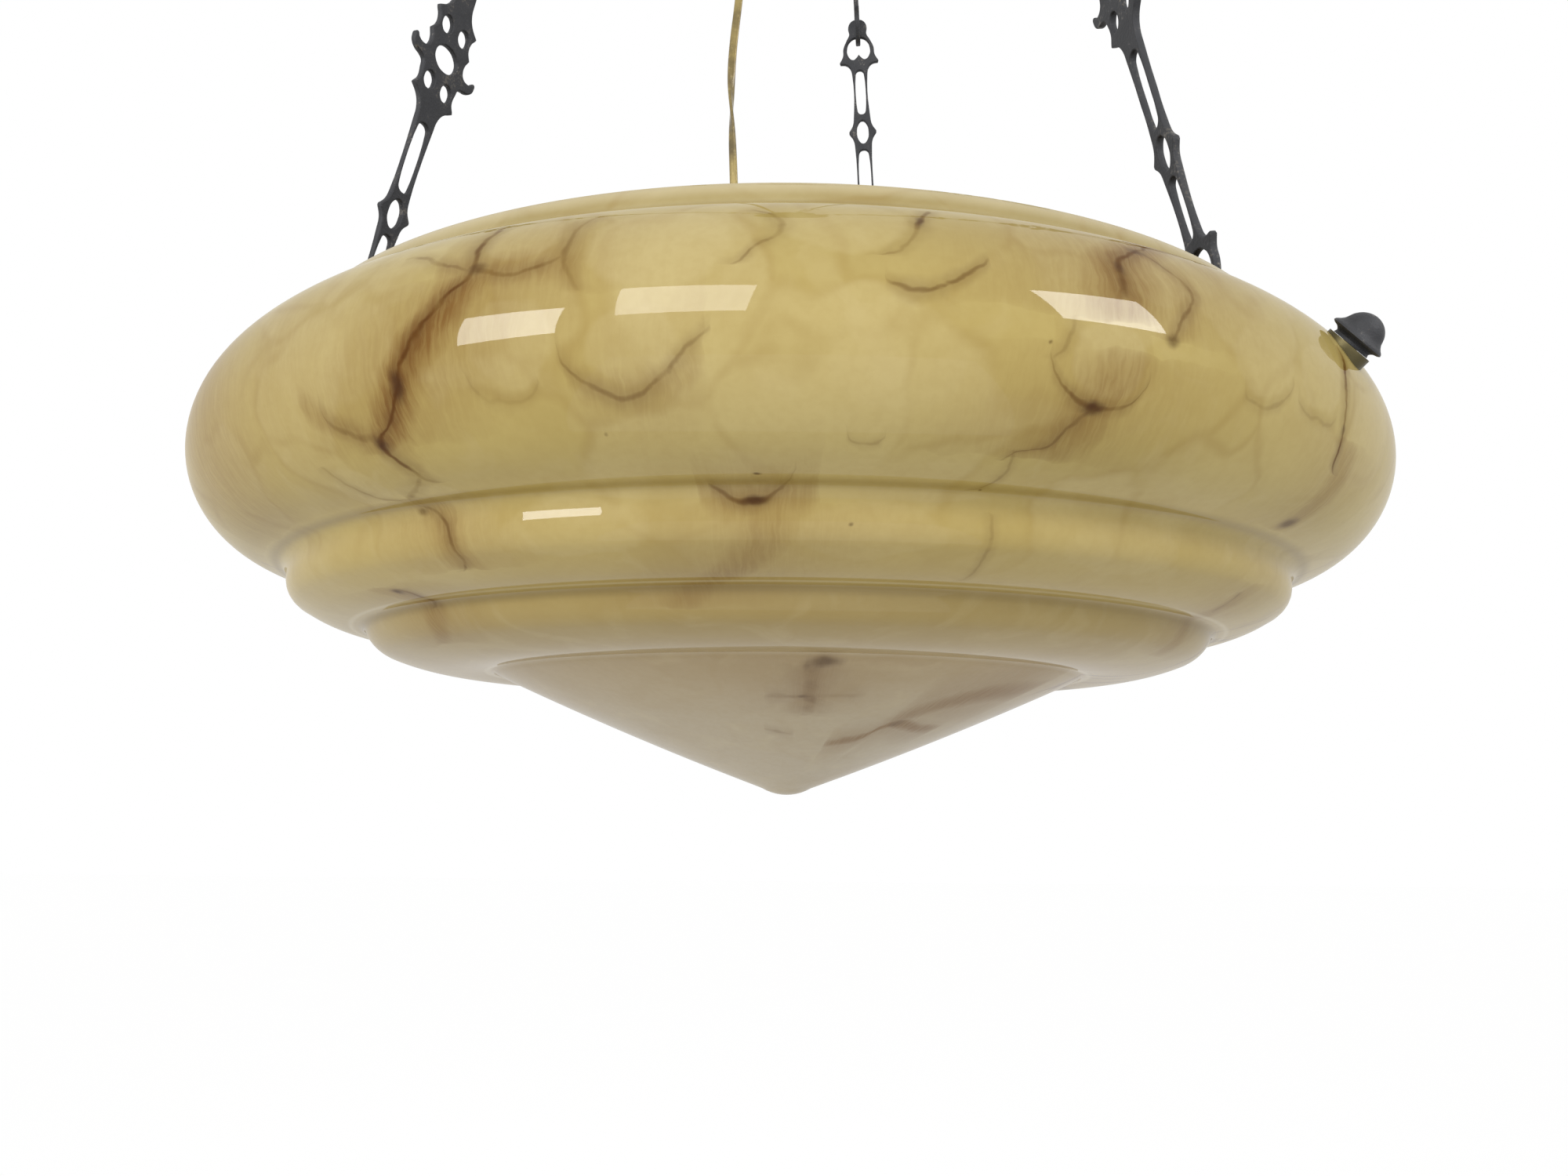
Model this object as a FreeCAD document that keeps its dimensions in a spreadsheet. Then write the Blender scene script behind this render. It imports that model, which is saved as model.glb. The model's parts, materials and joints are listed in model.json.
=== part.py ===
"""Bowl pendant light: a glass bowl on three chains under a ceiling canopy.

Millimetres. The origin is the middle of the ceiling face, Z points up, Y away from the viewer.
"""
import FreeCAD
import Part
import Sketcher
import math
import os
import re

doc = FreeCAD.newDocument("BowlPendant")
Vector = FreeCAD.Vector
Rotation = FreeCAD.Rotation
Placement = FreeCAD.Placement

# Driving sizes
SIZES = {
    # clearances
    "running_fit": 0.1,
    "snug_fit": 0.05,
    "bearing_gap": 0.3,
    # ceiling bracket
    "strap_long": 96,
    "strap_wide": 22,
    "strap_thick": 3,
    "strap_pitch": 76,
    "strap_hole": 2.6,
    "yoke_wide": 46,
    "yoke_drop": 33,
    # terminal block
    "block_long": 24,
    "block_wide": 16,
    "block_tall": 12,
    "screw_head": 1.8,
    "screw_proud": 1.2,
    # stem and lock nut
    "stem_radius": 5,
    "stem_bore": 3.6,
    "stem_proud": 0.5,
    "stem_grip": 11,
    "nut_corner": 9.5,
    "nut_tall": 5,
    # canopy
    "canopy_radius": 58,
    "canopy_deep": 46,
    "canopy_flat": 26,
    "canopy_brim": 5,
    "canopy_arc": 44,
    "canopy_wall": 1.2,
    "canopy_gap": 0.6,
    "canopy_travel": 22,
    "collar_radius": 9,
    "collar_tall": 10.5,
    "grub_radius": 1.5,
    # hanging loop, ring and bush
    "boss_radius": 8,
    "boss_tall": 14,
    "loop_major": 14,
    "loop_minor": 3,
    "loop_sink": 4,
    "ring_major": 14,
    "ring_minor": 2.5,
    "bush_radius": 3.4,
    "bush_flange": 4.6,
    "bush_lip": 1.5,
    # crown
    "crown_eye_major": 12,
    "crown_eye_minor": 3,
    "crown_post": 7,
    "crown_tall": 20,
    "crown_disc": 30,
    "crown_thick": 6,
    "crown_drop": 16,
    "crown_button": 0.6,
    "crown_reach": 36.6,
    "arm_radius": 3.5,
    "arm_eye_major": 8,
    "arm_eye_minor": 2.5,
    "cord_hole": 4,
    # chains
    "right_azimuth": -43.5,
    "back_azimuth": 72.3,
    "left_azimuth": 192,
    "right_chain_angle": 139,
    "back_chain_angle": 103,
    "left_chain_angle": 51,
    "chain_long": 702.5,
    "link_pitch": 250.6,
    "link_thick": 2.6,
    "link_eye": 6.8,
    "link_rim": 2,
    "link_bar": 10,
    "link_foot": 3.2,
    "link_horn": 11,
    "link_stem": 4.7,
    "link_barb": 7.7,
    "link_slot": 2.6,
    "link_knot": 3.3,
    "link_knot_tall": 12.7,
    "knot_set": 52.5,
    "ornament_half": 9.3,
    "ornament_tall": 18.3,
    "ring_hole": 5.7,
    "fluke_reach": 17.2,
    "pane_half": 2.6,
    "pane_out": 4.7,
    "right_connector": 52,
    "back_connector": 65.5,
    "left_connector": 71,
    "connector_major": 5.5,
    "connector_minor": 2,
    # bowl
    "bowl_radius": 225,
    "upper_roll": 37,
    "lower_roll": 34,
    "glass_wall": 5,
    "lip_inset": 30,
    "lip_rise": 7.5,
    "step_one_inset": 34.4,
    "step_one_drop": 49.3,
    "step_two_inset": 29.4,
    "step_two_drop": 64.1,
    "base_inset": 43.2,
    "base_drop": 68.5,
    "tip_radius": 10,
    "tip_drop": 116,
    # studs and finials
    "stud_angle": 28,
    "stud_tilt": 38,
    "stud_reach": 34,
    "stud_radius": 2.5,
    "stud_proud": 7.5,
    "stud_hole": 4,
    "eye_major": 7,
    "eye_minor": 2.5,
    "stud_flange": 7,
    "flange_thick": 2.5,
    "washer_radius": 7.2,
    "outer_washer": 1.4,
    "inner_washer": 3,
    "finial_brim": 8.4,
    "finial_neck": 5.8,
    "finial_waist": 4.7,
    "finial_tall": 10.9,
    "finial_button": 0.8,
    # cord and lampholder
    "cord_radius": 1.6,
    "cord_parting": 0.3,
    "lamp_x": -24,
    "lamp_y": 4,
    "lamp_above": 60,
    "grip_radius": 5.5,
    "grip_tall": 9,
    "holder_radius": 19,
    "holder_wall": 1.5,
    "cap_tall": 24,
    "cap_top": 7,
    "core_top": 10,
    "core_radius": 15,
    "core_flange": 3,
    "core_tall": 21,
    "shell_tall": 36,
    "contact_radius": 3.5,
    "contact_tall": 2,
    "thread_wall": 0.8,
    "thread_tall": 24,
    "shade_ring_radius": 24,
    "shade_ring_tall": 6,
    # bulb
    "bulb_cap_radius": 13.2,
    "bulb_cap_tall": 27,
    "bulb_contact": 4.5,
    "bulb_contact_tall": 1.5,
    "bulb_neck": 12.1,
    "bulb_radius": 29,
    "bulb_long": 74,
    "bulb_wall": 0.8,
    "filament_major": 9,
    "filament_wire": 0.4,
    "filament_rise": 8,
}

sheet = doc.addObject("Spreadsheet::Sheet", "Sizes")
for row, (alias, number) in enumerate(SIZES.items(), start=1):
    sheet.set(f"A{row}", alias)
    sheet.set(f"B{row}", str(number))
    sheet.setAlias(f"B{row}", alias)
doc.recompute()


# Reading and binding sizes

def bound(text):
    """An expression in which every size name points at its sheet cell."""
    def cell(match):
        word = match.group()
        if word in SIZES:
            return f"Sizes.{word}"
        return word
    return re.sub(r"[a-z_]+", cell, text)


def value(text):
    """The present number of an expression in size names."""
    return float(sheet.evalExpression(bound(text)))


def bind(piece, **properties):
    """Bind properties of an object to expressions in size names."""
    for name, text in properties.items():
        piece.setExpression(name, bound(text))


def at(x="0", y="0", z="0"):
    """A placement without a turn, from expressions."""
    return Placement(Vector(value(x), value(y), value(z)), Rotation())


def turn(axis, degrees):
    """A placement that only turns."""
    return Placement(Vector(), Rotation(axis, degrees))


X_AXIS = Vector(1, 0, 0)
Y_AXIS = Vector(0, 1, 0)
Z_AXIS = Vector(0, 0, 1)


# Sketches and solids

class Corner:
    """A corner of an outline; a bend gives the radius of the arc that arrives at it.

    side is 1 where the arc's centre lies left of the way along the outline, -1 where it lies right.
    """

    def __init__(self, across, up, bend=None, side=1):
        self.across = across
        self.up = up
        self.bend = bend
        self.side = side

    def point(self):
        return Vector(value(self.across), value(self.up), 0)


def arc_between(start, end, radius, side):
    """The arc of under a half circle from start to end, and whether it runs anticlockwise."""
    chord = end - start
    left = Vector(-chord.y, chord.x, 0).normalize()
    rise = math.sqrt(max(radius ** 2 - (chord.Length / 2) ** 2, 0))
    centre = (start + end) * 0.5 + left * (side * rise)
    first, last = (start, end) if side > 0 else (end, start)
    first_angle = math.atan2(first.y - centre.y, first.x - centre.x)
    last_angle = math.atan2(last.y - centre.y, last.x - centre.x)
    circle = Part.Circle(centre, Z_AXIS, radius)
    return Part.ArcOfCircle(circle, first_angle, last_angle), side > 0


def add_loop(sketch, corners):
    """Draw one closed outline in a sketch and bind its corners and bends."""
    count = len(corners)
    base = sketch.GeometryCount
    starts = []
    ends = []
    for index, corner in enumerate(corners):
        arriving = corners[(index + 1) % count]
        here = corner.point()
        there = arriving.point()
        if arriving.bend:
            arc, forward = arc_between(here, there, value(arriving.bend), arriving.side)
            sketch.addGeometry(arc, False)
            starts.append(1 if forward else 2)
            ends.append(2 if forward else 1)
        else:
            sketch.addGeometry(Part.LineSegment(here, there), False)
            starts.append(1)
            ends.append(2)
    rules = []
    texts = {}
    for index in range(count):
        following = (index + 1) % count
        rules.append(Sketcher.Constraint(
            "Coincident", base + index, ends[index], base + following, starts[following]))
    for index, corner in enumerate(corners):
        edge = base + index
        for direction, text, axis in (("DistanceX", corner.across, -2), ("DistanceY", corner.up, -1)):
            if text == "0":
                rules.append(Sketcher.Constraint("PointOnObject", edge, starts[index], axis))
                continue
            texts[len(rules)] = text
            rules.append(Sketcher.Constraint(direction, -1, 1, edge, starts[index], value(text)))
        arriving = corners[(index + 1) % count]
        if arriving.bend:
            texts[len(rules)] = arriving.bend
            rules.append(Sketcher.Constraint("Radius", edge, value(arriving.bend)))
    numbers = sketch.addConstraint(rules)
    for place, text in texts.items():
        sketch.setExpression(f"Constraints[{numbers[place]}]", bound(text))


def upright_sketch(body, name, loops):
    """A sketch of closed loops on the body's XZ plane."""
    sketch = body.newObject("Sketcher::SketchObject", name)
    plane = next(item for item in body.Origin.OriginFeatures if item.Role == "XZ_Plane")
    sketch.AttachmentSupport = [(plane, "")]
    sketch.MapMode = "FlatFace"
    for corners in loops:
        add_loop(sketch, corners)
    return sketch


def turned(label, corners, place=Placement()):
    """A body turned about Z from an outline of corners."""
    body = doc.addObject("PartDesign::Body", label)
    corners = [corner if isinstance(corner, Corner) else Corner(*corner) for corner in corners]
    sketch = upright_sketch(body, f"{label}_outline", [corners])
    revolution = body.newObject("PartDesign::Revolution", f"{label}_turning")
    revolution.Profile = sketch
    revolution.ReferenceAxis = (sketch, ["V_Axis"])
    revolution.Angle = 360
    body.Placement = place
    return body


def cast_plate(label, loops, thick, place=Placement()):
    """A flat body of loops on the XZ plane, padded evenly to both sides."""
    body = doc.addObject("PartDesign::Body", label)
    sketch = upright_sketch(body, f"{label}_outline", loops)
    pad = body.newObject("PartDesign::Pad", f"{label}_pad")
    pad.Profile = sketch
    pad.SideType = "Symmetric"
    bind(pad, Length=thick)
    body.Placement = place
    return body


def block(label, long, wide, tall, place):
    """A box whose placement is its lowest corner."""
    piece = doc.addObject("Part::Box", label)
    bind(piece, Length=long, Width=wide, Height=tall)
    piece.Placement = place
    return piece


def rod(label, radius, tall, place=Placement()):
    """A cylinder along its own Z from its placement."""
    piece = doc.addObject("Part::Cylinder", label)
    bind(piece, Radius=radius, Height=tall)
    piece.Placement = place
    return piece


def wire_ring(label, major, minor, place=Placement()):
    """A torus round its own Z."""
    piece = doc.addObject("Part::Torus", label)
    bind(piece, Radius1=major, Radius2=minor)
    piece.Placement = place
    return piece


def joined(label, pieces, place=Placement()):
    """One solid from overlapping pieces."""
    piece = doc.addObject("Part::MultiFuse", label)
    piece.Shapes = pieces
    piece.Placement = place
    return piece


def cut(label, base, tools, place=Placement()):
    """A base with tools cut away."""
    piece = doc.addObject("Part::Cut", label)
    piece.Base = base
    piece.Tool = tools[0] if len(tools) == 1 else joined(f"{label}_tools", tools)
    piece.Placement = place
    return piece


def grouped(label, pieces, place=Placement()):
    """Separate like solids in one node, or a placed copy of one piece."""
    piece = doc.addObject("Part::Compound", label)
    piece.Links = pieces
    piece.Placement = place
    return piece


# Heights from the ceiling down
YOKE_SHELF = "(strap_thick - yoke_drop)"
STEM_TOP = f"({YOKE_SHELF} + nut_tall + stem_proud)"
CANOPY_BASE = "(0 - canopy_gap - canopy_deep)"
COLLAR_BASE = f"({CANOPY_BASE} - collar_tall)"
BOSS_TOP = f"({COLLAR_BASE} - canopy_travel - bearing_gap)"
BOSS_BASE = f"({BOSS_TOP} - boss_tall)"
STEM_BASE = f"({BOSS_TOP} - stem_grip)"
LOOP_MIDDLE = f"({BOSS_BASE} + loop_sink - loop_major)"
LOOP_PIVOT = f"({LOOP_MIDDLE} - loop_major)"
RING_MIDDLE = f"({LOOP_PIVOT} + loop_minor + ring_minor + bearing_gap - ring_major)"
RING_PIVOT = f"({RING_MIDDLE} - ring_major)"
CROWN_EYE = f"({RING_PIVOT} + ring_minor + crown_eye_minor + bearing_gap - crown_eye_major)"
CROWN_TOP = f"({CROWN_EYE} - crown_eye_major + crown_eye_minor)"
ARM_LEVEL = f"({CROWN_TOP} - crown_tall)"
nodes = []


# Ceiling bracket: a strap against the ceiling with a yoke below it

def ceiling_bracket():
    strap = block("bracket_strap", "strap_long", "strap_wide", "strap_thick",
                  at("0 - strap_long / 2", "0 - strap_wide / 2", "0 - strap_thick"))
    shelf = block("bracket_shelf", "yoke_wide", "strap_wide", "strap_thick",
                  at("0 - yoke_wide / 2", "0 - strap_wide / 2", "0 - yoke_drop"))
    legs = [block(f"bracket_leg_{side}", "strap_thick", "strap_wide", "yoke_drop",
                  at(start, "0 - strap_wide / 2", "0 - yoke_drop"))
            for side, start in (("left", "0 - yoke_wide / 2"), ("right", "yoke_wide / 2 - strap_thick"))]
    blank = joined("bracket_blank", [strap, shelf] + legs)
    holes = [rod(f"bracket_screw_hole_{side}", "strap_hole", "3 * strap_thick",
                 at(middle, "0", "0 - 2 * strap_thick"))
             for side, middle in (("left", "0 - strap_pitch / 2"), ("right", "strap_pitch / 2"))]
    holes.append(rod("bracket_stem_hole", "stem_radius + snug_fit", "3 * strap_thick",
                     at("0", "0", "0 - yoke_drop - strap_thick")))
    nodes.append(cut("ceiling_bracket", blank, holes))


def terminal_block():
    base = "0 - strap_thick - block_tall"
    nodes.append(block("terminal_block", "block_long", "block_wide", "block_tall",
                       at("0 - block_long / 2", "0 - block_wide / 2", base)))
    screws = []
    for index, (x, y) in enumerate(((1, 1), (1, -1), (-1, 1), (-1, -1)), start=1):
        place = at(f"{x} * block_long / 3", f"{y} * block_wide / 4", f"{base} - screw_proud")
        screws.append(rod(f"terminal_screw_{index}", "screw_head", "screw_proud", place))
    nodes.append(grouped("terminal_screws", screws))


# Stem: a threaded tube through the yoke, held by a nut above the shelf

def stem():
    nodes.append(turned("stem_tube", [
        ("stem_bore", STEM_TOP),
        ("stem_radius", STEM_TOP),
        ("stem_radius", STEM_BASE),
        ("stem_bore", STEM_BASE),
    ]))
    blank = doc.addObject("Part::Prism", "lock_nut_blank")
    blank.Polygon = 6
    bind(blank, Circumradius="nut_corner", Height="nut_tall")
    bore = rod("lock_nut_bore", "stem_radius + snug_fit", "3 * nut_tall", at("0", "0", "0 - nut_tall"))
    nodes.append(cut("lock_nut", blank, [bore], at("0", "0", YOKE_SHELF)))


# Canopy: cup, collar and its screw, which slide down the stem together

def canopy():
    rim = "(0 - canopy_gap)"
    bore = "stem_radius + running_fit"
    inner_radius = "canopy_radius - canopy_wall"
    nodes.append(turned("canopy_cup", [
        Corner(bore, CANOPY_BASE),
        Corner("canopy_flat", CANOPY_BASE),
        Corner("canopy_radius", f"{rim} - canopy_brim", "canopy_arc"),
        Corner("canopy_radius", rim),
        Corner(inner_radius, rim),
        Corner(inner_radius, f"{rim} - canopy_brim"),
        Corner("canopy_flat - canopy_wall / 3", f"{CANOPY_BASE} + canopy_wall",
               "canopy_arc - canopy_wall", -1),
        Corner(bore, f"{CANOPY_BASE} + canopy_wall"),
    ]))
    collar = turned("collar_blank", [
        (bore, COLLAR_BASE),
        ("collar_radius - 1.5", COLLAR_BASE),
        ("collar_radius", f"{COLLAR_BASE} + 1.5"),
        ("collar_radius", CANOPY_BASE),
        (bore, CANOPY_BASE),
    ])
    middle = f"({COLLAR_BASE} + collar_tall / 2)"
    sideways = at("stem_radius + running_fit", "0", middle) * turn(Y_AXIS, 90)
    hole = rod("collar_screw_hole", "grub_radius + snug_fit", "2 * collar_radius", sideways)
    nodes.append(cut("canopy_collar", collar, [hole]))
    nodes.append(rod("collar_screw", "grub_radius", "collar_radius - stem_radius - 2 * running_fit",
                     at("stem_radius + running_fit", "0", middle) * turn(Y_AXIS, 90)))


# Hanging loop: a boss on the stem with a loop under it, and a bush for the cord

def hanging_loop():
    boss = rod("loop_boss", "boss_radius", "boss_tall", at("0", "0", BOSS_BASE))
    loop = wire_ring("loop_wire", "loop_major", "loop_minor", at("0", "0", LOOP_MIDDLE) * turn(X_AXIS, 90))
    blank = joined("loop_blank", [boss, loop])
    wide_bore = rod("loop_stem_bore", "stem_radius + snug_fit", "2 * stem_grip", at("0", "0", STEM_BASE))
    bush_bore = rod("loop_bush_bore", "bush_radius + snug_fit", "boss_tall + loop_sink",
                    at("0", "0", f"{BOSS_BASE} - loop_sink"))
    flange_room = rod("loop_flange_room", "bush_flange + snug_fit", "loop_sink",
                      at("0", "0", f"{BOSS_BASE} - loop_sink"))
    nodes.append(cut("hanging_loop", blank, [wide_bore, bush_bore, flange_room]))
    hole = "cord_radius + snug_fit"
    nodes.append(turned("cord_bush", [
        (hole, STEM_BASE),
        ("bush_radius", STEM_BASE),
        ("bush_radius", BOSS_BASE),
        ("bush_flange", BOSS_BASE),
        ("bush_flange", f"{BOSS_BASE} - bush_lip"),
        (hole, f"{BOSS_BASE} - bush_lip"),
    ]))


def suspension_ring():
    nodes.append(wire_ring("suspension_ring", "ring_major", "ring_minor",
                           at("0", "0", RING_MIDDLE) * turn(Y_AXIS, 90)))


# Where the studs leave the glass, and the line of each chain, in the radial plane
STUD_OUT = "(bowl_radius - upper_roll + upper_roll * cos(stud_angle * 1 deg))"
STUD_UP = "(upper_roll * sin(stud_angle * 1 deg))"
STUD_EYE_OUT = f"({STUD_OUT} - stud_reach * cos(stud_tilt * 1 deg))"
STUD_EYE_UP = f"({STUD_UP} - stud_reach * sin(stud_tilt * 1 deg))"
LONG_LINKS = 2
SIDES = ("right", "back", "left")
CHAINS = tuple(range(1, 1 + len(SIDES)))
ARM_EYE_HANG = "(2 * arm_eye_major - arm_eye_minor - bearing_gap / 2)"
chain_lean = math.degrees(math.asin(value(f"({STUD_EYE_OUT} - crown_reach) / chain_long")))
chain_drop = value("chain_long") * math.cos(math.radians(chain_lean))
bowl_level = value(ARM_LEVEL) - chain_drop - value(STUD_EYE_UP)


def azimuth(chain):
    """The direction of a chain round the axis, in degrees."""
    return value(f"{SIDES[chain - 1]}_azimuth")


def chain_angle(chain):
    """How far a chain's lowest link is turned about the chain's own line, in degrees."""
    return value(f"{SIDES[chain - 1]}_chain_angle")


def connector_long(chain):
    """The length of a chain's connector, from the stud's eye to its lowest link."""
    return f"{SIDES[chain - 1]}_connector"


def top_pitch(chain):
    """The length that a chain's short top link has to fill, up to the crown's eye."""
    return f"(chain_long - {ARM_EYE_HANG} - {connector_long(chain)} - {LONG_LINKS} * link_pitch)"


def on_chain(chain, along, twist):
    """A placement on a chain: along it from the stud's eye, turned about the chain's own line."""
    start = Placement(Vector(value(STUD_EYE_OUT), 0, bowl_level + value(STUD_EYE_UP)), Rotation())
    leaning = turn(Z_AXIS, azimuth(chain)) * start * turn(Y_AXIS, -chain_lean)
    return leaning * Placement(Vector(0, 0, along), Rotation(Z_AXIS, twist))


def on_stud(chain, level=0.0):
    """A placement on a stud in the bowl's own frame: Z outward along it from the glass's outer face."""
    start = Placement(Vector(value(STUD_OUT), 0, value(STUD_UP)), Rotation())
    return turn(Z_AXIS, azimuth(chain)) * start * turn(Y_AXIS, 90 - value("stud_tilt")) * \
        Placement(Vector(0, 0, level), Rotation())


BOWL_PLACE = Placement(Vector(0, 0, bowl_level), Rotation())


# Crown: hub, three arms with eyes, a top eye and a hole for the cord

def chain_crown():
    level = value(ARM_LEVEL)
    half = "crown_thick / 2"
    hub = turned("crown_hub", [
        Corner("0", "0 - crown_drop"),
        Corner("crown_button", "0 - crown_drop"),
        Corner("crown_post / 2", "crown_post / 2 - crown_button - crown_drop", "crown_post / 2 - crown_button"),
        Corner("crown_post / 2", f"0 - {half} - 4"),
        Corner("crown_post + 4", f"0 - {half}"),
        Corner("crown_disc - 2", f"0 - {half}"),
        Corner("crown_disc", f"2 - {half}"),
        Corner("crown_disc", f"{half} - 2"),
        Corner("crown_disc - 2", half),
        Corner("crown_post + 5", half),
        Corner("crown_post", f"{half} + 6", "9", -1),
        Corner("crown_post", "crown_tall"),
        Corner("0", "crown_tall"),
    ], at("0", "0", ARM_LEVEL))
    eye = wire_ring("crown_eye", "crown_eye_major", "crown_eye_minor",
                    at("0", "0", CROWN_EYE) * turn(X_AXIS, 90))
    pieces = [hub, eye]
    for chain in CHAINS:
        aim = turn(Z_AXIS, azimuth(chain)) * Placement(Vector(0, 0, level), Rotation()) * turn(Y_AXIS, 90)
        pieces.append(rod(f"crown_arm_{chain}", "arm_radius", "crown_reach + arm_eye_minor", aim))
        along = value("chain_long - arm_eye_major")
        twist = chain_angle(chain) + 90 * (LONG_LINKS + 1)
        place = on_chain(chain, along, twist) * turn(X_AXIS, 90)
        pieces.append(wire_ring(f"crown_arm_eye_{chain}", "arm_eye_major", "arm_eye_minor", place))
    blank = joined("crown_blank", pieces)
    hole = rod("crown_cord_hole", "cord_hole", "3 * crown_thick",
               at("0 - crown_disc + 9", "6", f"{ARM_LEVEL} - 1.5 * crown_thick"))
    nodes.append(cut("chain_crown", blank, [hole]))


# Chain links: flat pierced castings, their eyes bearing on the next link's

def slot(half_wide, low, high, side="0"):
    """An upright slot with round ends, to one side of the middle line if need be."""
    return [
        Corner(side, low, half_wide),
        Corner(f"{side} + {half_wide}", f"{low} + {half_wide}", half_wide),
        Corner(f"{side} + {half_wide}", f"{high} - {half_wide}"),
        Corner(side, high, half_wide),
        Corner(f"{side} - {half_wide}", f"{high} - {half_wide}", half_wide),
        Corner(f"{side} - {half_wide}", f"{low} + {half_wide}"),
    ]


def round_hole(radius, middle):
    """A round hole as four quarter arcs."""
    return [
        Corner("0", f"{middle} - {radius}", radius),
        Corner(radius, middle, radius),
        Corner("0", f"{middle} + {radius}", radius),
        Corner(f"0 - {radius}", middle, radius),
    ]


def link_head(bearing):
    """The right side of a link's domed head, eye and horns, from the top down."""
    eye = f"({bearing} - link_eye)"
    side = "(link_eye + link_rim)"
    return [
        (f"{side} * 0.35", f"{bearing} + link_bar * 0.9"),
        (f"{side} * 0.58", f"{bearing} + link_bar * 0.5"),
        (f"{side} * 0.58", f"{bearing} + link_bar * 0.1"),
        (f"{side} * 0.82", f"{eye} + link_eye * 0.75"),
        (side, f"{eye}"),
        (side, f"{eye} - link_eye * 0.5"),
        ("link_horn", f"{eye} - link_eye - 1"),
        ("link_stem + 3.2", f"{eye} - link_eye - 3.2"),
        ("link_stem", f"{eye} - link_eye - 6.5"),
    ]


def link_foot(bearing):
    """The right side of a link's horns and lower eye, from the top down."""
    eye = f"({bearing} - link_eye)"
    side = "(link_eye + link_rim)"
    return [
        ("link_stem", f"link_eye + 6.5 - {eye}"),
        ("link_stem + 3.2", f"link_eye + 3.2 - {eye}"),
        ("link_horn", f"link_eye + 1 - {eye}"),
        (side, f"link_eye * 0.5 - {eye}"),
        (side, f"0 - {eye}"),
        (f"{side} * 0.78", f"0 - {eye} - link_eye * 0.78"),
        (f"{side} * 0.42", f"0 - {bearing} - link_foot * 0.75"),
    ]


def knot(level):
    """The right side of an oval knot with its barb."""
    return [
        ("link_stem", f"{level} + link_knot_tall / 2 + 2"),
        ("link_barb", level),
        ("link_stem", f"{level} - link_knot_tall / 2 - 2"),
    ]


def ornament():
    """The right side of the pierced ornament in a long link's middle, with one of its two flukes."""
    return [
        ("link_stem", "ornament_tall + 11.7"),
        ("link_stem + 2.2", "ornament_tall + 3.2"),
        ("link_horn", "ornament_tall"),
        ("ornament_half", "ornament_tall * 0.79"),
        ("ornament_half", "ornament_tall * 0.58"),
        ("ornament_half + 1.8", "ornament_tall * 0.4"),
        ("ornament_half + 0.5", "ornament_tall * 0.2"),
        ("ornament_half + 0.7", "0 - ornament_tall * 0.07"),
        ("fluke_reach - 3", "0 - ornament_tall * 0.06"),
        ("fluke_reach", "ornament_tall * 0.02"),
        ("fluke_reach + 0.3", "0 - ornament_tall * 0.17"),
        ("fluke_reach - 2", "0 - ornament_tall * 0.32"),
        ("ornament_half + 1.2", "0 - ornament_tall * 0.36"),
        ("ornament_half + 0.2", "0 - ornament_tall * 0.55"),
        ("ornament_half", "0 - ornament_tall * 0.79"),
        ("link_horn", "0 - ornament_tall"),
        ("link_stem + 2.2", "0 - ornament_tall - 3.2"),
        ("link_stem", "0 - ornament_tall - 11.7"),
    ]


def mirrored(top, right, bottom):
    """A whole outline from its right side, listed from the top down."""
    left = [Corner(f"0 - {across}", up) for across, up in right]
    return top + left + bottom + [Corner(across, up) for across, up in reversed(right)]


def long_pattern():
    """The long link that each chain repeats: an ornament in the middle, a knot towards either end.

    It is drawn as two castings that meet just below the ornament's ring, which keeps each sketch small.
    """
    bearing = "(link_pitch / 2 + bearing_gap / 2)"
    eye = f"({bearing} - link_eye)"
    level = f"({bearing} - knot_set)"
    outer = f"({level} + link_knot_tall / 2 + 4)"
    inner = f"({level} - link_knot_tall / 2 - 4)"
    seam = ("ornament_half + 1", "0 - ornament_tall * 0.405")
    sides = ornament()
    cut_at = sides.index(("ornament_half + 1.2", "0 - ornament_tall * 0.36")) + 1
    upper = mirrored([Corner("0", f"{bearing} + link_bar")],
                     link_head(bearing) + knot(level) + sides[:cut_at] + [seam], [])
    lower = mirrored([], [seam] + sides[cut_at:] + knot(f"(0 - {level})") + link_foot(bearing),
                     [Corner("0", f"0 - {bearing} - link_foot")])
    upper_windows = [
        round_hole("link_eye", eye),
        slot("link_slot", outer, f"({eye} - link_eye - 5.5)"),
        slot("link_knot", f"({level} - link_knot_tall / 2)", f"({level} + link_knot_tall / 2)"),
        slot("link_slot", "(ornament_tall + 12.5)", inner),
        round_hole("ring_hole", "0"),
    ]
    lower_windows = [
        slot("link_slot", f"(0 - {inner})", "(0 - ornament_tall - 12.5)"),
        slot("link_knot", f"(0 - {level} - link_knot_tall / 2)", f"(link_knot_tall / 2 - {level})"),
        slot("link_slot", f"(link_eye + 5.5 - {eye})", f"(0 - {outer})"),
        round_hole("link_eye", f"(0 - {eye})"),
    ]
    for side in ("pane_out", "(0 - pane_out)"):
        upper_windows.append(slot("pane_half", "(ornament_tall * 0.53)", "(ornament_tall * 0.95)", side))
        lower_windows.append(slot("pane_half", "(0 - ornament_tall * 0.92)", "(0 - ornament_tall * 0.5)", side))
    return joined("long_link_pattern", [
        cast_plate("long_link_upper", [upper] + upper_windows, "link_thick"),
        cast_plate("long_link_lower", [lower] + lower_windows, "link_thick"),
    ])


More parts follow.
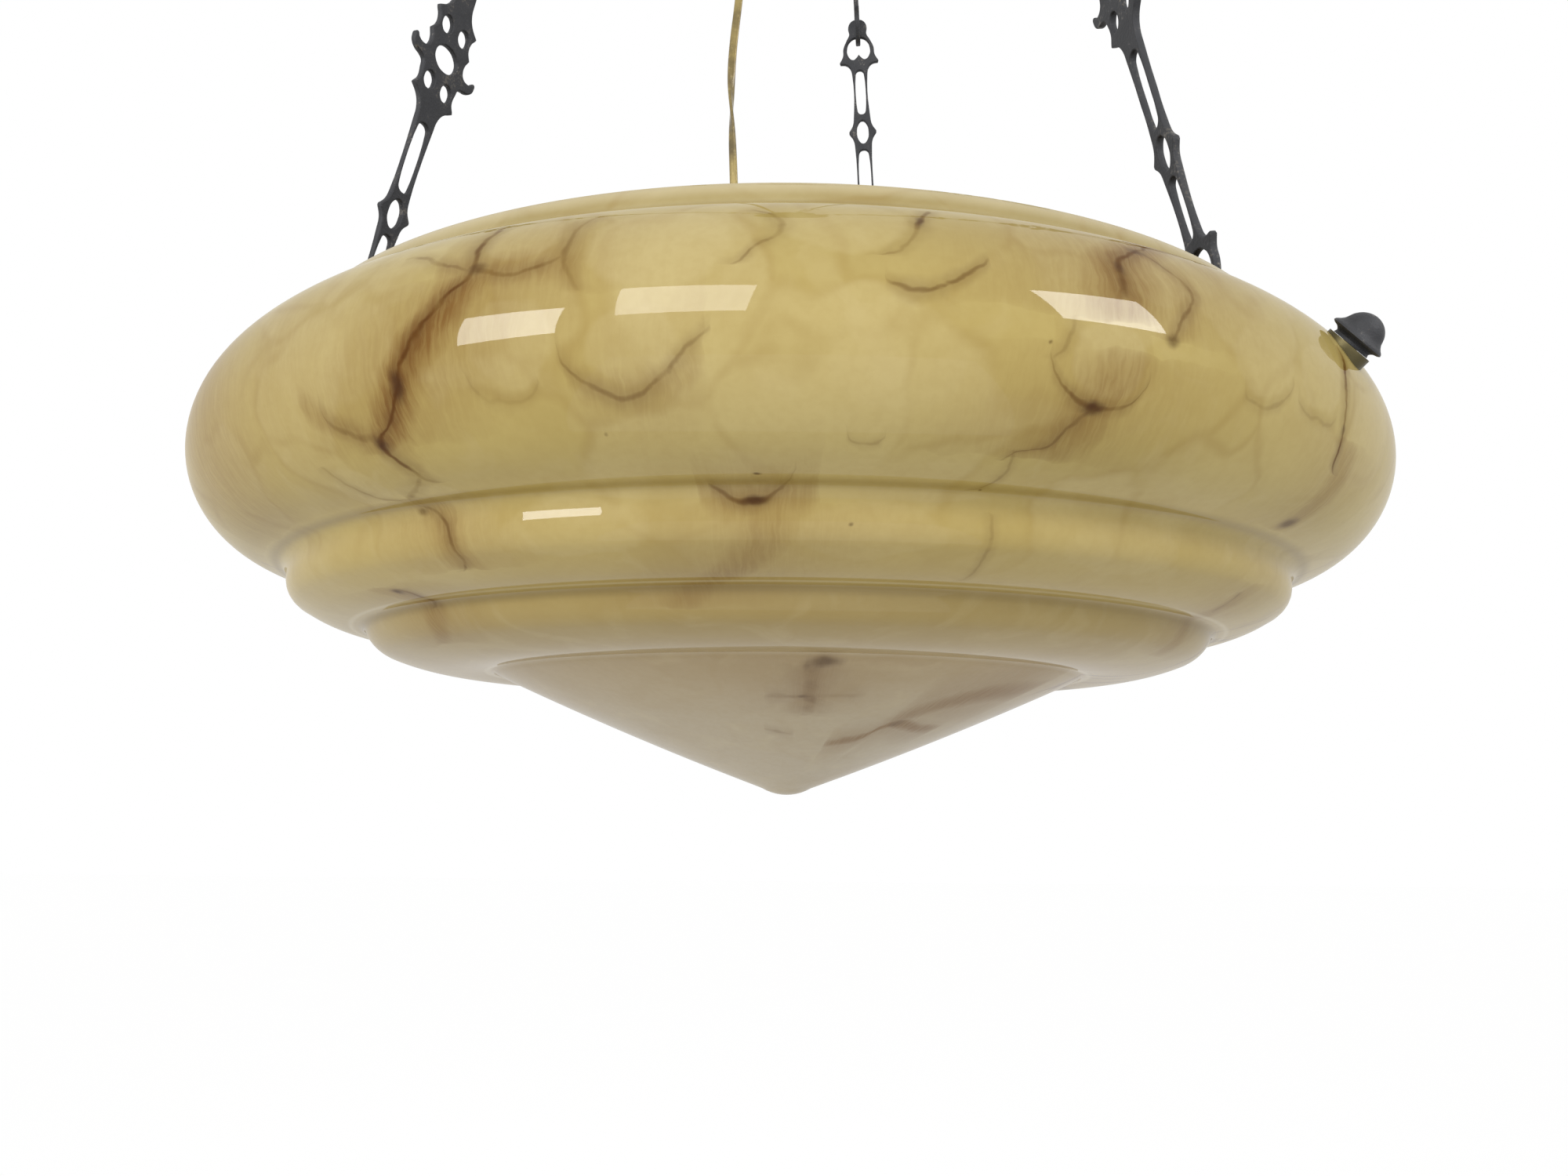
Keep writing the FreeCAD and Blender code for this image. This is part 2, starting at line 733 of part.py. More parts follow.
def short_pattern(chain):
    """The short link at the top of a chain, with one knot in its middle."""
    bearing = f"({top_pitch(chain)} / 2 + bearing_gap / 2)"
    eye = f"({bearing} - link_eye)"
    outline = mirrored([Corner("0", f"{bearing} + link_bar")],
                       link_head(bearing) + knot("0") + link_foot(bearing),
                       [Corner("0", f"0 - {bearing} - link_foot")])
    windows = [
        round_hole("link_eye", eye),
        round_hole("link_eye", f"(0 - {eye})"),
        slot("link_slot", "(link_knot_tall / 2 + 4)", f"({eye} - link_eye - 5.5)"),
        slot("link_knot", "(0 - link_knot_tall / 2)", "(link_knot_tall / 2)"),
        slot("link_slot", f"(link_eye + 5.5 - {eye})", "(0 - link_knot_tall / 2 - 4)"),
    ]
    return cast_plate(f"short_link_pattern_{chain}", [outline] + windows, "link_thick")


def chains():
    pattern = long_pattern()
    for chain in CHAINS:
        start = connector_long(chain)
        angle = chain_angle(chain)
        for link in range(1, LONG_LINKS + 1):
            along = value(f"{start} + ({link} - 0.5) * link_pitch")
            place = on_chain(chain, along, angle + 90 * (link - 1))
            nodes.append(grouped(f"link_{chain}_{link}", [pattern], place))
        along = value(f"{start} + {LONG_LINKS} * link_pitch + {top_pitch(chain)} / 2")
        place = on_chain(chain, along, angle + 90 * LONG_LINKS)
        nodes.append(grouped(f"top_link_{chain}", [short_pattern(chain)], place))


# Connectors: a rod with two eyes, from the stud's eye up past the lip

def connectors():
    low = value("connector_major - eye_minor - connector_minor - bearing_gap")
    for chain in CHAINS:
        long = connector_long(chain)
        high = value(f"{long} + bearing_gap / 2 + connector_minor - connector_major")
        eyes = []
        for end, along, twist in (("low", low, 0), ("high", high, chain_angle(chain) + 90)):
            eyes.append(wire_ring(f"connector_{chain}_{end}_eye", "connector_major", "connector_minor",
                                  on_chain(chain, along, twist) * turn(X_AXIS, 90)))
        bar_start = low + value("connector_major")
        bar = rod(f"connector_{chain}_bar", "connector_minor",
                  f"{long} + 1.5 * bearing_gap + 2 * connector_minor + eye_minor - 4 * connector_major",
                  on_chain(chain, bar_start, 0))
        nodes.append(joined(f"connector_{chain}", eyes + [bar]))


# Glass bowl in its own frame: its widest circle lies at height 0, and each step is set in from the one above
LIP = "(bowl_radius - lip_inset)"
LIP_TOP = "(upper_roll + lip_rise)"
STEP_ONE = "(bowl_radius - step_one_inset)"
STEP_TWO = f"({STEP_ONE} - step_two_inset)"
BASE = f"({STEP_TWO} - base_inset)"


def bowl_blank():
    upper = "(bowl_radius - upper_roll)"
    lower = "(bowl_radius - lower_roll)"
    inner_upper = "(upper_roll - glass_wall)"
    inner_lower = "(lower_roll - glass_wall)"
    return turned("bowl_blank", [
        Corner("0", "0 - tip_drop"),
        Corner("tip_radius", "2.7 - tip_drop", "(tip_radius ^ 2 + 2.7 ^ 2) / (2 * 2.7)"),
        Corner(f"{BASE} - 1", "0 - base_drop - 0.8", "1500"),
        Corner(BASE, "0 - base_drop"),
        Corner(f"{STEP_TWO} - 11", "0 - step_two_drop - 1.8"),
        Corner(f"{STEP_TWO} - 3.7", "0 - step_two_drop"),
        Corner(STEP_TWO, "3.1 - step_two_drop", "5"),
        Corner(f"{STEP_TWO} + 4.3", "9.3 - step_two_drop"),
        Corner(f"{STEP_ONE} - 6.1", "0 - step_one_drop"),
        Corner(STEP_ONE, "5.8 - step_one_drop", "7"),
        Corner(f"{STEP_ONE} + 2.4", "13.3 - step_one_drop"),
        Corner(f"{lower} + lower_roll * cos(70 deg)", "0 - lower_roll * sin(70 deg)"),
        Corner("bowl_radius", "0", "lower_roll"),
        Corner(f"{upper} + upper_roll * cos(72 deg)", "upper_roll * sin(72 deg)", "upper_roll"),
        Corner(f"{LIP} + 1.8", f"{LIP_TOP} - 7"),
        Corner(LIP, f"{LIP_TOP} - glass_wall / 2"),
        Corner(f"{LIP} - glass_wall / 2", LIP_TOP, "glass_wall / 2"),
        Corner(f"{LIP} - glass_wall", f"{LIP_TOP} - glass_wall / 2", "glass_wall / 2"),
        Corner(f"{LIP} - glass_wall + 1.8", f"{LIP_TOP} - 10"),
        Corner(f"{upper} + {inner_upper} * cos(75 deg)", f"{inner_upper} * sin(75 deg)"),
        Corner("bowl_radius - glass_wall", "0", inner_upper, -1),
        Corner(f"{lower} + {inner_lower} * cos(75 deg)", f"0 - {inner_lower} * sin(75 deg)", inner_lower, -1),
        Corner(f"{STEP_ONE} + 2.4 - glass_wall", "13.3 - step_one_drop + glass_wall"),
        Corner(f"{STEP_ONE} - glass_wall", "6.5 - step_one_drop"),
        Corner(f"{STEP_ONE} - glass_wall - 3", "glass_wall + 0.5 - step_one_drop"),
        Corner(f"{STEP_TWO} + 4.3 - glass_wall", "9.3 - step_two_drop + glass_wall"),
        Corner(f"{STEP_TWO} - glass_wall", "6 - step_two_drop"),
        Corner(f"{STEP_TWO} - glass_wall - 3", "glass_wall - step_two_drop"),
        Corner(f"{BASE} - 1", "glass_wall + 1 - base_drop"),
        Corner("0", "glass_wall + 1 - tip_drop"),
    ])


def glass_bowl():
    blank = bowl_blank()
    holes = [rod(f"bowl_hole_{chain}", "stud_hole", "4 * glass_wall", on_stud(chain, value("-3 * glass_wall")))
             for chain in CHAINS]
    nodes.append(cut("glass_bowl", blank, holes, BOWL_PLACE))
    washers(blank)


# Washers: cut to the glass they lie on, rubber inside and metal outside

def washers(blank):
    bore = "stud_radius + snug_fit"
    levels = {
        "outer": ("0 - glass_wall / 2", "outer_washer"),
        "inner": ("0 - glass_wall - inner_washer", "0 - glass_wall / 2"),
    }
    for kind, (low, high) in levels.items():
        group = []
        for chain in CHAINS:
            disc = turned(f"{kind}_disc_{chain}", [
                (bore, low),
                ("washer_radius", low),
                ("washer_radius", high),
                (bore, high),
            ], on_stud(chain))
            group.append(cut(f"{kind}_washer_{chain}", disc, [blank], BOWL_PLACE))
        nodes.append(grouped(f"{kind}_washers", group))


# Eye bolts: ring, flange against the rubber and shank through the glass

def eye_bolts():
    flange_top = "(0 - glass_wall - inner_washer)"
    for chain in CHAINS:
        place = BOWL_PLACE * on_stud(chain)
        shank = turned(f"eye_bolt_{chain}_shank", [
            ("0", "2 * eye_major - stud_reach"),
            ("stud_radius", "2 * eye_major - stud_reach"),
            ("stud_radius", f"{flange_top} - flange_thick"),
            ("stud_flange", f"{flange_top} - flange_thick"),
            ("stud_flange", flange_top),
            ("stud_radius", flange_top),
            ("stud_radius", "stud_proud"),
            ("0", "stud_proud"),
        ], place)
        middle = Placement(Vector(0, 0, value("eye_major - stud_reach")), Rotation(Y_AXIS, 90))
        eye = wire_ring(f"eye_bolt_{chain}_eye", "eye_major", "eye_minor", place * middle)
        nodes.append(joined(f"eye_bolt_{chain}", [shank, eye]))


# Finials: blind cap nuts that clamp the glass

def finials():
    seat = "(outer_washer + running_fit)"
    bore = "stud_radius + snug_fit"
    bore_end = "stud_proud + 0.8"
    for chain in CHAINS:
        nodes.append(turned(f"finial_{chain}", [
            Corner(bore, seat),
            Corner("finial_neck", seat),
            Corner("finial_brim - 1.2", f"{seat} + 1.6"),
            Corner("finial_brim", f"{seat} + 2.5", "1.6"),
            Corner("finial_brim - 1", f"{seat} + 3.5", "1.6"),
            Corner("finial_waist", f"{seat} + 6", "6", -1),
            Corner("finial_waist - 0.3", f"{seat} + finial_tall - 3.6", "6"),
            Corner("finial_button", f"{seat} + finial_tall",
                   "((finial_waist - 0.3 - finial_button) ^ 2 + 3.6 ^ 2) / (2 * 3.6)"),
            Corner("0", f"{seat} + finial_tall"),
            Corner("0", bore_end),
            Corner(bore, bore_end),
        ], BOWL_PLACE * on_stud(chain)))


# Lampholder: its own heights run down from the top of its cap
LAMP_PLACE = Placement(Vector(value("lamp_x"), value("lamp_y"), bowl_level + value("lamp_above")), Rotation())
SHELL_TOP = "(0 - cap_tall)"
SHELL_INNER = "(holder_radius - holder_wall)"
LEDGE = f"({SHELL_TOP} - core_flange)"
CORE_BASE = "(0 - core_top - core_tall)"
CONTACT_BASE = f"({CORE_BASE} - contact_tall)"
BULB_TOP = f"({CONTACT_BASE} - bearing_gap)"
BULB_CAP_TOP = f"({BULB_TOP} - bulb_contact_tall)"
BULB_CAP_BASE = f"({BULB_CAP_TOP} - bulb_cap_tall)"
CAP_FLOOR = f"({BULB_CAP_TOP} - 9)"
BULB_MIDDLE = f"({BULB_CAP_BASE} - bulb_long + bulb_radius)"


def lampholder():
    hole = "cord_radius + snug_fit"
    wall = "holder_wall"
    nodes.append(turned("cord_grip", [
        (hole, "0"),
        ("grip_radius", "0"),
        ("grip_radius", "grip_tall - 2"),
        ("grip_radius - 1.5", "grip_tall"),
        (hole, "grip_tall"),
    ], LAMP_PLACE))
    nodes.append(turned("holder_cap", [
        Corner(hole, "0"),
        Corner("cap_top", "0"),
        Corner("holder_radius", "14 - cap_tall", "22", -1),
        Corner("holder_radius", SHELL_TOP),
        Corner(SHELL_INNER, SHELL_TOP),
        Corner(SHELL_INNER, "14 - cap_tall"),
        Corner("cap_top - 1", f"0 - {wall}", f"22 - {wall}"),
        Corner(hole, f"0 - {wall}"),
    ], LAMP_PLACE))
    nodes.append(turned("holder_core", [
        ("0", "0 - core_top"),
        ("core_radius - 6", "0 - core_top"),
        ("core_radius", "0 - core_top - 7"),
        ("core_radius", SHELL_TOP),
        (f"{SHELL_INNER} - snug_fit", SHELL_TOP),
        (f"{SHELL_INNER} - snug_fit", LEDGE),
        ("core_radius", LEDGE),
        ("core_radius", CORE_BASE),
        ("0", CORE_BASE),
    ], LAMP_PLACE))
    nodes.append(turned("holder_shell", [
        (SHELL_INNER, SHELL_TOP),
        ("holder_radius", SHELL_TOP),
        ("holder_radius", f"{SHELL_TOP} - shell_tall"),
        (SHELL_INNER, f"{SHELL_TOP} - shell_tall"),
        (SHELL_INNER, f"{LEDGE} - {wall}"),
        ("core_radius + snug_fit", f"{LEDGE} - {wall}"),
        ("core_radius + snug_fit", LEDGE),
        (SHELL_INNER, LEDGE),
    ], LAMP_PLACE))
    nodes.append(rod("holder_contact", "contact_radius", "contact_tall",
                     LAMP_PLACE * at("0", "0", CONTACT_BASE)))
    thread_inner = "(bulb_cap_radius + running_fit)"
    nodes.append(turned("thread_shell", [
        ("contact_radius + 2.5", CORE_BASE),
        (f"{thread_inner} + thread_wall", CORE_BASE),
        (f"{thread_inner} + thread_wall", f"{CORE_BASE} - thread_tall"),
        (thread_inner, f"{CORE_BASE} - thread_tall"),
        (thread_inner, f"{CORE_BASE} - thread_wall"),
        ("contact_radius + 2.5", f"{CORE_BASE} - thread_wall"),
    ], LAMP_PLACE))
    ring_top = f"({SHELL_TOP} - shell_tall / 2)"
    ring_bore = "holder_radius + running_fit"
    nodes.append(turned("holder_ring", [
        (ring_bore, ring_top),
        ("shade_ring_radius - 1", ring_top),
        ("shade_ring_radius", f"{ring_top} - 1"),
        ("shade_ring_radius", f"{ring_top} - shade_ring_tall + 1"),
        ("shade_ring_radius - 1", f"{ring_top} - shade_ring_tall"),
        (ring_bore, f"{ring_top} - shade_ring_tall"),
    ], LAMP_PLACE))


# Bulb: cap, contact, glass envelope, stem and filament

def bulb():
    nodes.append(rod("bulb_contact", "bulb_contact", "bulb_contact_tall",
                     LAMP_PLACE * at("0", "0", BULB_CAP_TOP)))
    pocket = "(bulb_neck + snug_fit)"
    nodes.append(turned("bulb_cap", [
        ("0", BULB_CAP_TOP),
        ("bulb_contact + 1.5", BULB_CAP_TOP),
        ("bulb_cap_radius", f"{BULB_CAP_TOP} - 3.7"),
        ("bulb_cap_radius", BULB_CAP_BASE),
        (pocket, BULB_CAP_BASE),
        (pocket, CAP_FLOOR),
        ("0", CAP_FLOOR),
    ], LAMP_PLACE))
    inner_neck = "bulb_neck - bulb_wall"
    inner = "(bulb_radius - bulb_wall)"
    nodes.append(turned("bulb_glass", [
        Corner("0", f"{BULB_MIDDLE} - bulb_radius"),
        Corner("bulb_radius", BULB_MIDDLE, "bulb_radius"),
        Corner("bulb_radius * cos(25 deg)", f"{BULB_MIDDLE} + bulb_radius * sin(25 deg)", "bulb_radius"),
        Corner("bulb_neck", f"{BULB_CAP_BASE} - 3"),
        Corner("bulb_neck", CAP_FLOOR),
        Corner(inner_neck, CAP_FLOOR),
        Corner(inner_neck, f"{BULB_CAP_BASE} - 3"),
        Corner(f"{inner} * cos(25 deg)", f"{BULB_MIDDLE} + {inner} * sin(25 deg)"),
        Corner(inner, BULB_MIDDLE, inner, -1),
        Corner("0", f"{BULB_MIDDLE} - {inner}", inner, -1),
    ], LAMP_PLACE))
    stem_end = f"({BULB_MIDDLE} + filament_rise)"
    nodes.append(turned("bulb_stem", [
        ("0", CAP_FLOOR),
        ("bulb_neck - bulb_wall - snug_fit", CAP_FLOOR),
        ("bulb_neck - bulb_wall - snug_fit", f"{CAP_FLOOR} - 2"),
        ("4", f"{CAP_FLOOR} - 12"),
        ("2.2", f"{CAP_FLOOR} - 20"),
        ("2.2", stem_end),
        ("0", stem_end),
    ], LAMP_PLACE))
    ring = wire_ring("filament_ring", "filament_major", "filament_wire", LAMP_PLACE * at("0", "0", BULB_MIDDLE))
    drop = "(filament_rise - filament_wire)"
    lean = math.degrees(math.atan2(value("filament_major"), value(drop)))
    wires = []
    for index in range(3):
        aim = turn(Z_AXIS, 120 * index) * turn(Y_AXIS, 180 - lean)
        wires.append(rod(f"filament_wire_{index + 1}", "filament_wire", f"sqrt(filament_major ^ 2 + {drop} ^ 2)",
                         LAMP_PLACE * at("0", "0", f"{stem_end} - filament_wire") * aim))
    nodes.append(joined("bulb_filament", [ring] + wires))


# Cord: straight runs joined by tangent arcs

def cord_tube(label, points):
    """A round tube on a route of straight runs; each corner takes an arc that both its runs allow."""
    radius = value("cord_radius")
    edges = []
    here = points[0]
    radii = []
    for before, corner, after in zip(points, points[1:], points[2:]):
        arriving = (corner - before)
        leaving = (after - corner)
        half_turn = arriving.getAngle(leaving) / 2
        reach = 0.45 * min(arriving.Length, leaving.Length)
        radii.append(reach / math.tan(half_turn))
        arriving.normalize()
        leaving.normalize()
        start = corner - arriving * reach
        end = corner + leaving * reach
        chord_middle = (start + end) * 0.5
        inward = (chord_middle - corner).normalize()
        bulge = radii[-1] / math.cos(half_turn) - radii[-1]
        edges.append(Part.makeLine(here, start))
        edges.append(Part.Arc(start, corner + inward * bulge, end).toShape())
        here = end
    edges.append(Part.makeLine(here, points[-1]))
    path = Part.Wire(edges)
    direction = points[1] - points[0]
    section = Part.Wire([Part.makeCircle(radius, points[0], direction)])
    tube = path.makePipeShell([section], True, False)
    expected = math.pi * radius ** 2 * path.Length
    print(label, "length", round(path.Length, 1), "bend radii", [round(r, 1) for r in radii],
          "volume share", round(tube.Volume / expected, 4))
    piece = doc.addObject("Part::Feature", label)
    piece.Shape = tube
    piece.Placement = Placement()
    nodes.append(piece)


def cords():
    block_base = "(0 - strap_thick - block_tall)"
    exit_level = f"({BOSS_BASE} - bush_lip)"
    nodes.append(rod("cord_inner", "cord_radius", f"{block_base} - {exit_level}", at("0", "0", exit_level)))
    bush = value(exit_level)
    pivot = value(RING_PIVOT)
    arm = value(ARM_LEVEL)
    hole_x = value("9 - crown_disc")
    lamp_x = value("lamp_x")
    lamp_y = value("lamp_y")
    lamp_top = bowl_level + value("lamp_above")
    half_way = Vector(-14, 8, pivot - 2)
    just_above = half_way + Vector(0, 0, value("cord_parting"))
    cord_tube("cord_upper", [
        Vector(0, 0, bush),
        Vector(0, 0, bush - 5),
        Vector(-11, 9, pivot + 22),
        just_above,
    ])
    cord_tube("cord_drop", [
        half_way,
        Vector(-15.2, 7.6, pivot - 11),
        Vector(hole_x, 6, arm + 12),
        Vector(hole_x, 6, arm - 14),
        Vector(lamp_x, lamp_y, lamp_top + 40),
        Vector(lamp_x, lamp_y, lamp_top - value("holder_wall") - 4),
    ])


# Build, test and write

ceiling_bracket()
terminal_block()
stem()
canopy()
hanging_loop()
suspension_ring()
chain_crown()
chains()
connectors()
glass_bowl()
eye_bolts()
finials()
lampholder()
bulb()
cords()
doc.recompute()

faults = [item.Name for item in doc.Objects if "Invalid" in item.State or "Error" in item.State]
if faults:
    raise RuntimeError(f"objects that did not build: {faults}")
os.makedirs("parts", exist_ok=True)
for node in nodes:
    if node.Shape.isNull() or not node.Shape.isValid() or node.Shape.Volume <= 0:
        raise RuntimeError(f"no sound solid in {node.Label}")
    node.Shape.exportStep(f"parts/{node.Label}.step")
print("nodes", len(nodes), "bowl level", round(bowl_level, 2), "chain lean", round(chain_lean, 3))
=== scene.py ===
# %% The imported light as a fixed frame
import bmesh
import bpy
import json
import math
from mathutils import Matrix, Vector


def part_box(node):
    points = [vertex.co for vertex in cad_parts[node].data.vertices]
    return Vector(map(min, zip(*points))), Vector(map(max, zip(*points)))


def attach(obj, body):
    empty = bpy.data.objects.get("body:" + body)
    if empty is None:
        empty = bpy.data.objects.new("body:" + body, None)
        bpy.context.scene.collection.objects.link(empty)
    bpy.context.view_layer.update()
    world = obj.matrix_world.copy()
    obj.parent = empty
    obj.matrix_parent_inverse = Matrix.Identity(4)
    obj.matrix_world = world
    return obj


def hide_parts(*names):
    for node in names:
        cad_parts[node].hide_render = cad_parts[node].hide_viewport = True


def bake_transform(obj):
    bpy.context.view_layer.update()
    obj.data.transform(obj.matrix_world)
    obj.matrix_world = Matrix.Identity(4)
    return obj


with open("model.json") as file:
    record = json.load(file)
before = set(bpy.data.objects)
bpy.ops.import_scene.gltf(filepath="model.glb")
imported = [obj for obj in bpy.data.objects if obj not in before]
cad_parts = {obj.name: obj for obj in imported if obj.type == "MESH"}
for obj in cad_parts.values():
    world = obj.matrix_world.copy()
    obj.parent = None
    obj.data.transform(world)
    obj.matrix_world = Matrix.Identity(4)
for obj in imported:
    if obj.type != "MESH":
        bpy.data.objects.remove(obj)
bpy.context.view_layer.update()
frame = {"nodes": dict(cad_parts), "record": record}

MM = 0.001
nodes = frame["nodes"]

# %% [markdown]
# The light hangs from the ceiling, so every height is measured down from the ceiling's face. The
# bowl's lip and its widest circle are the two heights that the photograph fixes best. The lip is
# read from the frame, and the widest circle lies a known drop below it.

# %% Heights of the bowl
LIP_ABOVE_WIDEST = 44.5 * MM
lip_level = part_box("glass_bowl")[1].z
bowl_level = lip_level - LIP_ABOVE_WIDEST
print("lip at", round(lip_level, 4), "widest circle at", round(bowl_level, 4))

# %% [markdown]
# The photograph was taken with a wide phone lens from close by, a little below the bowl and tilted
# up. A camera object is placed at that spot, so near and far edges spread as they do there. A
# longer lens from further off would flatten the steps under the bowl.

# %% Camera
CAMERA_PLACE = Vector((-1.7 * MM, -455.9 * MM, bowl_level - 101.0 * MM))
CAMERA_TILT_UP = math.radians(8.75)
CAMERA_ROLL = math.radians(0.55)
CAMERA_LENS = 25.29
SENSOR_WIDE = 36
NEAREST = 0.01

camera_data = bpy.data.cameras.new("photo_camera")
camera_data.sensor_fit = "HORIZONTAL"
camera_data.sensor_width = SENSOR_WIDE
camera_data.lens = CAMERA_LENS
camera_data.clip_start = NEAREST
camera = bpy.data.objects.new("photo_camera", camera_data)
bpy.context.scene.collection.objects.link(camera)
camera.matrix_world = (
    Matrix.Translation(CAMERA_PLACE)
    @ Matrix.Rotation(math.pi / 2 + CAMERA_TILT_UP, 4, "X")
    @ Matrix.Rotation(CAMERA_ROLL, 4, "Z")
)
bpy.context.scene.camera = camera
print("camera sees", round(math.degrees(camera_data.angle_x), 1), "degrees across")

# %% [markdown]
# Each visible piece is a mesh that is linked to the scene and tied to one body of the light, so
# that it moves with that body. It is shaded smooth, and only edges sharper than a set angle stay
# crisp. Faces could be set hard or soft one by one, but an angle treats every piece alike.

# %% A mesh as a piece
CREASE = math.radians(40)


def piece_from_mesh(name, mesh, body, crease=CREASE):
    """Link a mesh as a piece of a body, shaded smooth except at sharp edges."""
    piece = bpy.data.objects.new(name, mesh)
    bpy.context.scene.collection.objects.link(piece)
    mesh.shade_smooth()
    mesh.set_sharp_from_angle(angle=crease)
    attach(piece, body)
    print("piece", name, "on", body, "with", len(mesh.polygons), "faces")
    return piece


# %% [markdown]
# Outlines are listed as on a workshop drawing: corners joined by straight runs, or by arcs of a
# given bend. A curve object could hold the same line, but points at even steps keep reflections
# calm.

# %% Outlines of runs and arcs
def arc_points(start, end, radius, side, step):
    """Points after start, up to end, on an arc with its centre left (side 1) or right (side -1)."""
    chord = end - start
    left = Vector((-chord.y, chord.x)).normalized()
    rise = math.sqrt(max(radius ** 2 - (chord.length / 2) ** 2, 0))
    centre = (start + end) / 2 + left * side * rise
    first = math.atan2(start.y - centre.y, start.x - centre.x)
    last = math.atan2(end.y - centre.y, end.x - centre.x)
    sweep = (last - first) % (2 * math.pi)
    if side < 0:
        sweep -= 2 * math.pi
    count = max(2, math.ceil(abs(sweep) * radius / step))
    angles = [first + sweep * index / count for index in range(1, count + 1)]
    return [centre + radius * Vector((math.cos(angle), math.sin(angle))) for angle in angles]


def outline_points(corners, step):
    """Corners (across, up) or (across, up, bend, side) in millimetres as close points in metres."""
    points = [Vector(corners[0][:2])]
    for corner in corners[1:]:
        end = Vector(corner[:2])
        if len(corner) == 4:
            points += arc_points(points[-1], end, corner[2], corner[3], step)
        else:
            count = max(1, math.ceil((end - points[-1]).length / step))
            start = points[-1]
            points += [start.lerp(end, index / count) for index in range(1, count + 1)]
    return [point * MM for point in points]


quarter = arc_points(Vector((10, 0)), Vector((0, 10)), 10, 1, 2)
print("a quarter turn of 10 mm in steps of 2 mm has", len(quarter), "points")

# %% [markdown]
# A glass mould and a lathe both make a round piece from one outline. A Screw modifier could spin a
# curve too, but rows of points made here also carry the texture coordinates that the marbling
# needs: the turn about the axis and the way along the outline.

# %% Turned meshes
ON_AXIS = 1e-7


def turned_mesh(name, points, columns, place=Matrix()):
    """Turn an outline about Z; its texture coordinates are the turn and the way along the outline."""
    mesh = bpy.data.meshes.new(name)
    shape = bmesh.new()
    texture = shape.loops.layers.uv.new("turn_and_way")
    ways = [0.0]
    for before, after in zip(points, points[1:]):
        ways.append(ways[-1] + (after - before).length)
    turns = [2 * math.pi * column / columns - math.pi for column in range(columns)]
    rows = []
    for point in points:
        ring = [Vector((point.x * math.cos(turn), point.x * math.sin(turn), point.y)) for turn in turns]
        if point.x < ON_AXIS:
            ring = [Vector((0, 0, point.y))]
        rows.append([shape.verts.new(place @ corner) for corner in ring])
    for index, (low, high) in enumerate(zip(rows, rows[1:])):
        for column in range(columns):
            corners = [(low, column, 0), (low, column + 1, 0), (high, column + 1, 1), (high, column, 1)]
            if len(low) == 1:
                corners = [(low, column, 0), (high, column + 1, 1), (high, column, 1)]
            if len(high) == 1:
                corners = [(low, column, 0), (low, column + 1, 0), (high, column, 1)]
            face = shape.faces.new([row[turn % len(row)] for row, turn, _ in corners])
            for loop, (_, turn, step) in zip(face.loops, corners):
                loop[texture].uv = (turn / columns, ways[index + step])
    shape.to_mesh(mesh)
    shape.free()
    return mesh


# %% [markdown]
# The bowl is one blown shell. Its outline is drawn from the tip up the outside to the lip and down
# the inside, with the full double roll as two arcs and the steps below it as short bends. One sheet
# with a Solidify modifier would give an even wall, but blown glass is thicker where the steps turn.

# %% Outline of the bowl
BOWL_RADIUS = 225
UPPER_ROLL = 37
LOWER_ROLL = 34
GLASS_WALL = 5


def bowl_outline():
    """The bowl's outside from tip to lip, then its inside back to the axis, in millimetres."""
    upper = BOWL_RADIUS - UPPER_ROLL
    lower = BOWL_RADIUS - LOWER_ROLL
    inner_upper = UPPER_ROLL - GLASS_WALL
    inner_lower = LOWER_ROLL - GLASS_WALL

    def on_roll(middle, radius, degrees):
        turn = math.radians(degrees)
        return (middle + radius * math.cos(turn), radius * math.sin(turn))

    outside = [
        (0, -116),
        (10, -113.3, 19.87, 1),
        (116.2, -69.9, 1500, 1),
        (119.5, -69, 3, -1),
        (155, -65, 75, 1),
        (163.9, -57.4, 15, 1),
        (164.2, -56.6),
        (167, -55.2, 3, -1),
        (186, -49.2, 40, 1),
        (191.4, -41.6, 9, 1),
        (191.5, -39.2),
        (195.5, -34.6, 4.5, -1),
        on_roll(lower, LOWER_ROLL, -70),
        (BOWL_RADIUS, 0, LOWER_ROLL, 1),
        on_roll(upper, UPPER_ROLL, 72) + (UPPER_ROLL, 1),
        (196.9, 37.4, 6, -1),
        (195, 42),
        (192.5, 44.5, 2.5, 1),
        (190, 42, 2.5, 1),
    ]
    inside = [
        (191.8, 34.5),
        on_roll(upper, inner_upper, 75),
        (BOWL_RADIUS - GLASS_WALL, 0, inner_upper, -1),
        on_roll(lower, inner_lower, -75) + (inner_lower, -1),
        (188, -31),
        (185.6, -42.8),
        (182.6, -43.8, 4, -1),
        (160.5, -49.8),
        (156.2, -58.1),
        (153.2, -59.1, 4, -1),
        (117, -62.5),
        (0, -110),
    ]
    return outside + inside


print("corners of the bowl's outline", len(bowl_outline()))

# %% [markdown]
# The outline is now turned into the shell. Fine rows and columns keep its reflections free of
# facets. A Subdivision modifier could smooth a coarser shell, but it would round off the edges of
# the steps.

# %% Glass bowl
BOWL_STEP = 2.2
BOWL_COLUMNS = 288
BOWL_CREASE = math.radians(60)

bowl_place = Matrix.Translation((0, 0, bowl_level))
bowl_points = outline_points(bowl_outline(), BOWL_STEP)
bowl_mesh = turned_mesh("glass_bowl_blown", bowl_points, BOWL_COLUMNS, bowl_place)
bowl = piece_from_mesh("glass_bowl_blown", bowl_mesh, "pendant", BOWL_CREASE)
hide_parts("glass_bowl")

# %% [markdown]
# Every chain runs straight from an eye bolt in the roll up to an arm of the crown. The same few
# sizes that place the solids place the visible pieces here: where the stud leaves the glass, how
# long the chain is, and how far out the crown's arm reaches.

